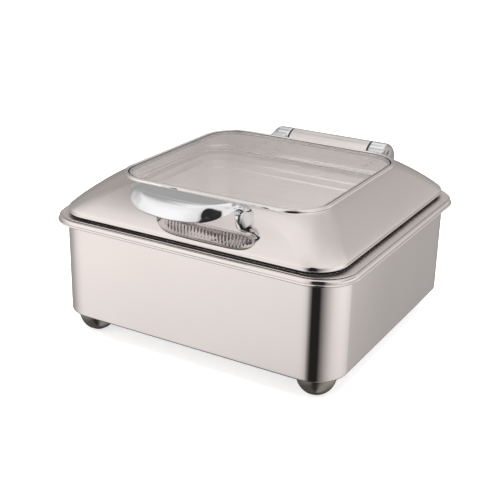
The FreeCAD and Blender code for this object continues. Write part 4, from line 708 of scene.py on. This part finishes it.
# ------------------------------------------------------------------ finish of the CAD nodes that stay
FIN = {
    "base_plate": ("zinc", 0.0003), "base_plate_screws": ("zinc", 0.0003), "foot_bolts": ("zinc", None), "foot_nuts": ("zinc", 0.0003),
    "reflector_tray": ("zinc", None), "insulation_pad": ("wool", None), "heating_element": ("element", None), "heating_plate": ("alu", 0.0006),
    "heater_pillars": ("zinc", 0.0003), "pillar_screws": ("zinc", 0.0003), "thermostat_bulb": ("brass", None), "bulb_clip": ("zinc", None),
    "thermal_cutout": ("black", 0.0003), "terminal_block": ("ivory", 0.0005), "supply_wires": ("wire", None), "element_wires": ("wire", None),
    "control_panel": ("panel", 0.0003), "panel_screws": ("zinc", 0.0004), "thermostat_body": ("black", 0.0005), "switch_housing": ("black", 0.0004),
    "pilot_bezel": ("black", 0.0003), "pilot_lens": ("lamp", None), "mains_inlet": ("black", 0.0004), "inlet_pins": ("brass", 0.0003),
    "inlet_screws": ("zinc", 0.0004), "hinge_bracket": ("satin", 0.0006), "bracket_screws": ("zinc", 0.0003), "barrel_screws": ("zinc", 0.0003),
    "hinge_bushes": ("ivory", None), "hinge_damper": ("black", None), "hinge_washers": ("black", 0.0002), "window_gasket": ("seal", None), "hinge_arm_screws": ("zinc", 0.0003),
    "hinge_pin": ("satin", 0.0003), "handle_screws": ("zinc", 0.0003), "handle_washers": ("zinc", None), "thermostat_shaft": ("zinc", 0.0002),
    "switch_rocker": ("gloss", 0.0004),
}
for nm, (mat, bev) in FIN.items():
    if nm not in N:
        continue
    o = N[nm]
    o.data.materials.clear()
    o.data.materials.append(M[mat])
    if bev:
        bv = o.modifiers.new("edge", "BEVEL")
        bv.width = bev
        bv.segments = 2
        bv.limit_method = "ANGLE"
        bv.angle_limit = math.radians(40)
        bv.use_clamp_overlap = True
        bv.harden_normals = False

# switch marks
plate_text("mark_on", "I", 8.0 - 5.6, 187.6, 80.0, 0.004, M["white"], "rocker")
plate_text("mark_off", "O", 8.0 + 5.6, 187.6, 80.0, 0.004, M["white"], "rocker")

# ------------------------------------------------------------------ floor
me = bpy.data.meshes.new("floor")
S = 9.0
me.from_pydata([(-S, -S, 0), (S, -S, 0), (S, S, 0), (-S, S, 0)], [], [(0, 1, 2, 3)])
fm, fnt, fb = new_mat("pale_floor")
fb.inputs["Base Color"].default_value = (0.93, 0.925, 0.92, 1.0)
fb.inputs["Roughness"].default_value = 0.9
fb.inputs["Specular IOR Level"].default_value = 0.1
fb.inputs["Emission Color"].default_value = (1.0, 1.0, 1.0, 1.0)
fb.inputs["Emission Strength"].default_value = 0.62
me.materials.append(fm)
floor = bpy.data.objects.new("floor", me)
COL.objects.link(floor)
floor.visible_glossy = False

# ------------------------------------------------------------------ studio surround: light in front and above, dimmer behind, one dark flag front right
world = bpy.data.worlds.new("studio")
bpy.context.scene.world = world
world.use_nodes = True
wt = world.node_tree
for nd in list(wt.nodes):
    wt.nodes.remove(nd)
out = wt.nodes.new("ShaderNodeOutputWorld")
bg = wt.nodes.new("ShaderNodeBackground")
tc = wt.nodes.new("ShaderNodeTexCoord")
sep = wt.nodes.new("ShaderNodeSeparateXYZ")
wt.links.new(tc.outputs["Generated"], sep.inputs[0])
ny = math_node(wt, "MULTIPLY", sep.outputs["Y"], -1.0)
azr = math_node(wt, "ARCTAN2", sep.outputs["X"], ny)
azn = math_node(wt, "ADD", math_node(wt, "DIVIDE", azr, 2 * math.pi), 0.5)


def az(a):
    return (a + 180.0) / 360.0


TINT = (1.0, 0.972, 0.960)
# light arriving from each elevation, by azimuth (0 in front, 90 to the right)
BANDS = [
    (-52.0, [(-180, .12), (-150, .08), (-100, .13), (-50, .15), (-10, .12), (4, .04), (34, .05), (44, .28), (70, .50), (110, .42), (150, .20), (180, .12)]),
    (-38.0, [(-180, .16), (-150, .10), (-125, .16), (-99, .20), (-69, .32), (-39, .38), (-9, .30), (3, .12), (9, .02), (33, .02), (45, .15), (69, .42), (99, .58), (129, .55), (153, .44), (160, .26), (180, .16)]),
    (-28.0, [(-180, .30), (-158, .12), (-142, .12), (-125, .30), (-99, .38), (-87, .47), (-75, .60), (-63, .76), (-51, .86), (-39, .92), (-27, .88), (-15, .79), (-7, .66), (-1, .32), (3, .16), (9, .02), (33, .02), (45, .24), (57, .47), (69, .67), (81, .83), (99, .91), (117, .93), (135, .85), (153, .71), (159, .44), (167, .34), (180, .30)]),
    (-22.0, [(-180, .36), (-160, .16), (-142, .16), (-125, .36), (-99, .44), (-87, .55), (-69, .81), (-63, .89), (-51, 1.0), (-39, 1.07), (-27, 1.02), (-21, .98), (-15, .92), (-9, .82), (-3, .52), (3, .28), (8, .02), (31.5, .02), (36, .14), (40, .22), (45, .32), (51, .44), (63, .67), (75, .88), (87, 1.0), (105, 1.09), (123, 1.07), (135, .99), (147, .89), (155, .76), (159, .51), (167, .40)]),
    (-8.0, [(-180, .44), (-160, .22), (-142, .22), (-125, .38), (-99, .45), (-87, .56), (-75, .72), (-63, .90), (-51, 1.02), (-40, 1.12), (-30, 1.12), (-21, 1.05), (-12, .92), (-5, .76), (1, .40), (4, .03), (35, .02), (40, .18), (51, .45), (63, .70), (75, .90), (90, 1.02), (110, 1.08), (130, 1.02), (145, .90), (154, .72), (160, .50), (168, .44), (180, .44)]),
    (10.0, [(-180, .46), (-160, .36), (-142, .32), (-125, .38), (-105, .45), (-95, .54), (-85, .66), (-75, .80), (-65, .94), (-55, 1.04), (-45, 1.12), (-35, 1.16), (-25, 1.10), (-15, .96), (-5, .80), (1, .40), (4, .03), (36, .02), (40, .20), (51, .52), (63, .78), (78, .92), (90, .55), (104, .36), (124, .36), (134, .60), (142, .88), (155, .70), (165, .56), (180, .46)]),
    (22.0, [(-180, .48), (-150, .44), (-125, .44), (-107, .48), (-95, .63), (-85, .82), (-75, .96), (-65, 1.04), (-50, 1.10), (-35, 1.15), (-25, 1.10), (-3, .82), (3, .30), (5, .03), (36, .02), (41, .30), (50, .70), (60, .95), (72, .98), (84, .62), (98, .36), (122, .36), (132, .62), (141, .90), (148, .85), (155, .63), (165, .57), (180, .48)]),
    (33.0, [(-180, .52), (-165, .66), (-150, .70), (-135, .46), (-115, .45), (-105, .48), (-95, .71), (-85, .92), (-75, 1.0), (-60, 1.08), (-45, 1.12), (-35, 1.14), (-20, 1.0), (-8, .92), (2, .50), (4.5, .03), (37, .02), (42, .40), (50, .85), (60, 1.03), (80, 1.02), (110, 1.0), (135, .92), (145, .86), (155, .64), (165, .60), (180, .52)]),
    (45.0, [(-180, .72), (-165, 1.05), (-150, 1.10), (-138, .80), (-128, .42), (-105, .43), (-95, .50), (-85, .66), (-75, .79), (-65, .91), (-50, 1.0), (-35, 1.07), (-20, 1.0), (-8, .92), (3.5, .66), (6.5, .03), (37, .02), (42, .50), (50, .95), (65, 1.05), (90, 1.02), (115, .95), (135, .89), (145, .77), (155, .66), (170, .66), (180, .72)]),
    (55.0, [(-180, .70), (-165, .95), (-150, 1.0), (-140, .70), (-130, .42), (-110, .45), (-95, .47), (-85, .50), (-75, .53), (-66, .62), (-58, .92), (-50, 1.02), (-35, .98), (-20, .93), (-5, .90), (5.5, .80), (9, .03), (35, .03), (41, .50), (50, .90), (65, 1.0), (90, .98), (115, .90), (125, .93), (135, .88), (145, .76), (155, .70), (170, .68), (180, .70)]),
    (63.0, [(-180, .78), (-155, .89), (-130, .78), (-105, .90), (-85, .96), (-65, 1.06), (-45, 1.02), (-35, .96), (-15, .90), (6, .84), (10, .04), (31, .04), (37, .60), (48, .90), (60, .95), (90, .98), (115, .97), (135, .85), (155, .73), (170, .72), (180, .78)]),
    (70.0, [(-180, .87), (-150, .91), (-125, .91), (-95, .99), (-70, 1.04), (-45, 1.01), (-35, .96), (-15, .87), (15, .87), (50, .92), (80, .95), (105, .96), (125, .88), (145, .80), (165, .77), (180, .87)]),
    (77.0, [(-180, .93), (-140, 1.0), (-105, 1.03), (-75, 1.03), (-45, 1.0), (-25, .94), (-5, .88), (15, .89), (50, .92), (90, .95), (125, .87), (155, .86), (175, .91), (180, .93)]),
    (87.0, [(-180, .98), (-90, 1.0), (-45, .98), (0, .95), (60, .94), (120, .95), (180, .98)]),
]
eln = math_node(wt, "MULTIPLY", math_node(wt, "ARCSINE", sep.outputs["Z"]), 180.0 / math.pi)
sky = None
e0 = None
for e1, row in BANDS:
    col = ramp(wt, azn, [(az(a), (v * TINT[0], v * TINT[1], v * TINT[2])) for a, v in row])
    if sky is None:
        sky, e0 = col, e1
        continue
    mr = wt.nodes.new("ShaderNodeMapRange")
    mr.inputs["From Min"].default_value = e0
    mr.inputs["From Max"].default_value = e1
    wt.links.new(eln, mr.inputs["Value"])
    mx = wt.nodes.new("ShaderNodeMix")
    mx.data_type = "RGBA"
    wt.links.new(mr.outputs["Result"], mx.inputs[0])
    wt.links.new(sky, mx.inputs[6])
    wt.links.new(col, mx.inputs[7])
    sky, e0 = mx.outputs[2], e1
lp = wt.nodes.new("ShaderNodeLightPath")
mixc = wt.nodes.new("ShaderNodeMix")
mixc.data_type = "RGBA"
wt.links.new(lp.outputs["Is Camera Ray"], mixc.inputs[0])
wt.links.new(sky, mixc.inputs[6])
mixc.inputs[7].default_value = (1.0, 1.0, 1.0, 1.0)
wt.links.new(mixc.outputs[2], bg.inputs["Color"])
wt.links.new(bg.outputs[0], out.inputs["Surface"])


def area(name, loc, target, size, power, color=(1, 1, 1), glossy=False):
    ld = bpy.data.lights.new(name, "AREA")
    ld.shape = "RECTANGLE"
    ld.size, ld.size_y = size
    ld.energy = power
    ld.color = color
    o = bpy.data.objects.new(name, ld)
    COL.objects.link(o)
    o.location = loc
    o.rotation_mode = "QUATERNION"
    o.rotation_quaternion = (Vector(target) - Vector(loc)).to_track_quat("-Z", "Y")
    o.visible_glossy = glossy
    return o


area("key_overhead", (0.0, -0.4, 2.6), (0, 0, 0.1), (2.6, 2.2), 88.0, (1.0, 0.985, 0.97))
area("fill_front", (-1.6, -2.2, 1.3), (0, 0, 0.1), (1.8, 1.4), 16.0)
area("fill_back", (1.4, 2.2, 1.6), (0, 0, 0.1), (1.8, 1.4), 12.0)

# ------------------------------------------------------------------ camera, at the photograph's viewing angle
cam_d = bpy.data.cameras.new("camera")
cam_d.sensor_width = 36.0
cam_d.lens = 71.561
cam_d.clip_start, cam_d.clip_end = 0.05, 60.0
cam = bpy.data.objects.new("camera", cam_d)
COL.objects.link(cam)
A, E, RO = math.radians(29.600), math.radians(22.020), math.radians(1.298)
back = Vector((math.sin(A) * math.cos(E), -math.cos(A) * math.cos(E), math.sin(E)))
right = (-back).cross(Vector((0, 0, 1))).normalized()
up = right.cross(-back)
r2 = right * math.cos(RO) + up * math.sin(RO)
u2 = up * math.cos(RO) - right * math.sin(RO)
rot = Matrix((r2, u2, back)).transposed()
cam.matrix_world = Matrix.Translation(mm(604.15, -1091.92, 600.96)) @ rot.to_4x4()
bpy.context.scene.camera = cam
bpy.context.scene.view_settings.view_transform = "Standard"
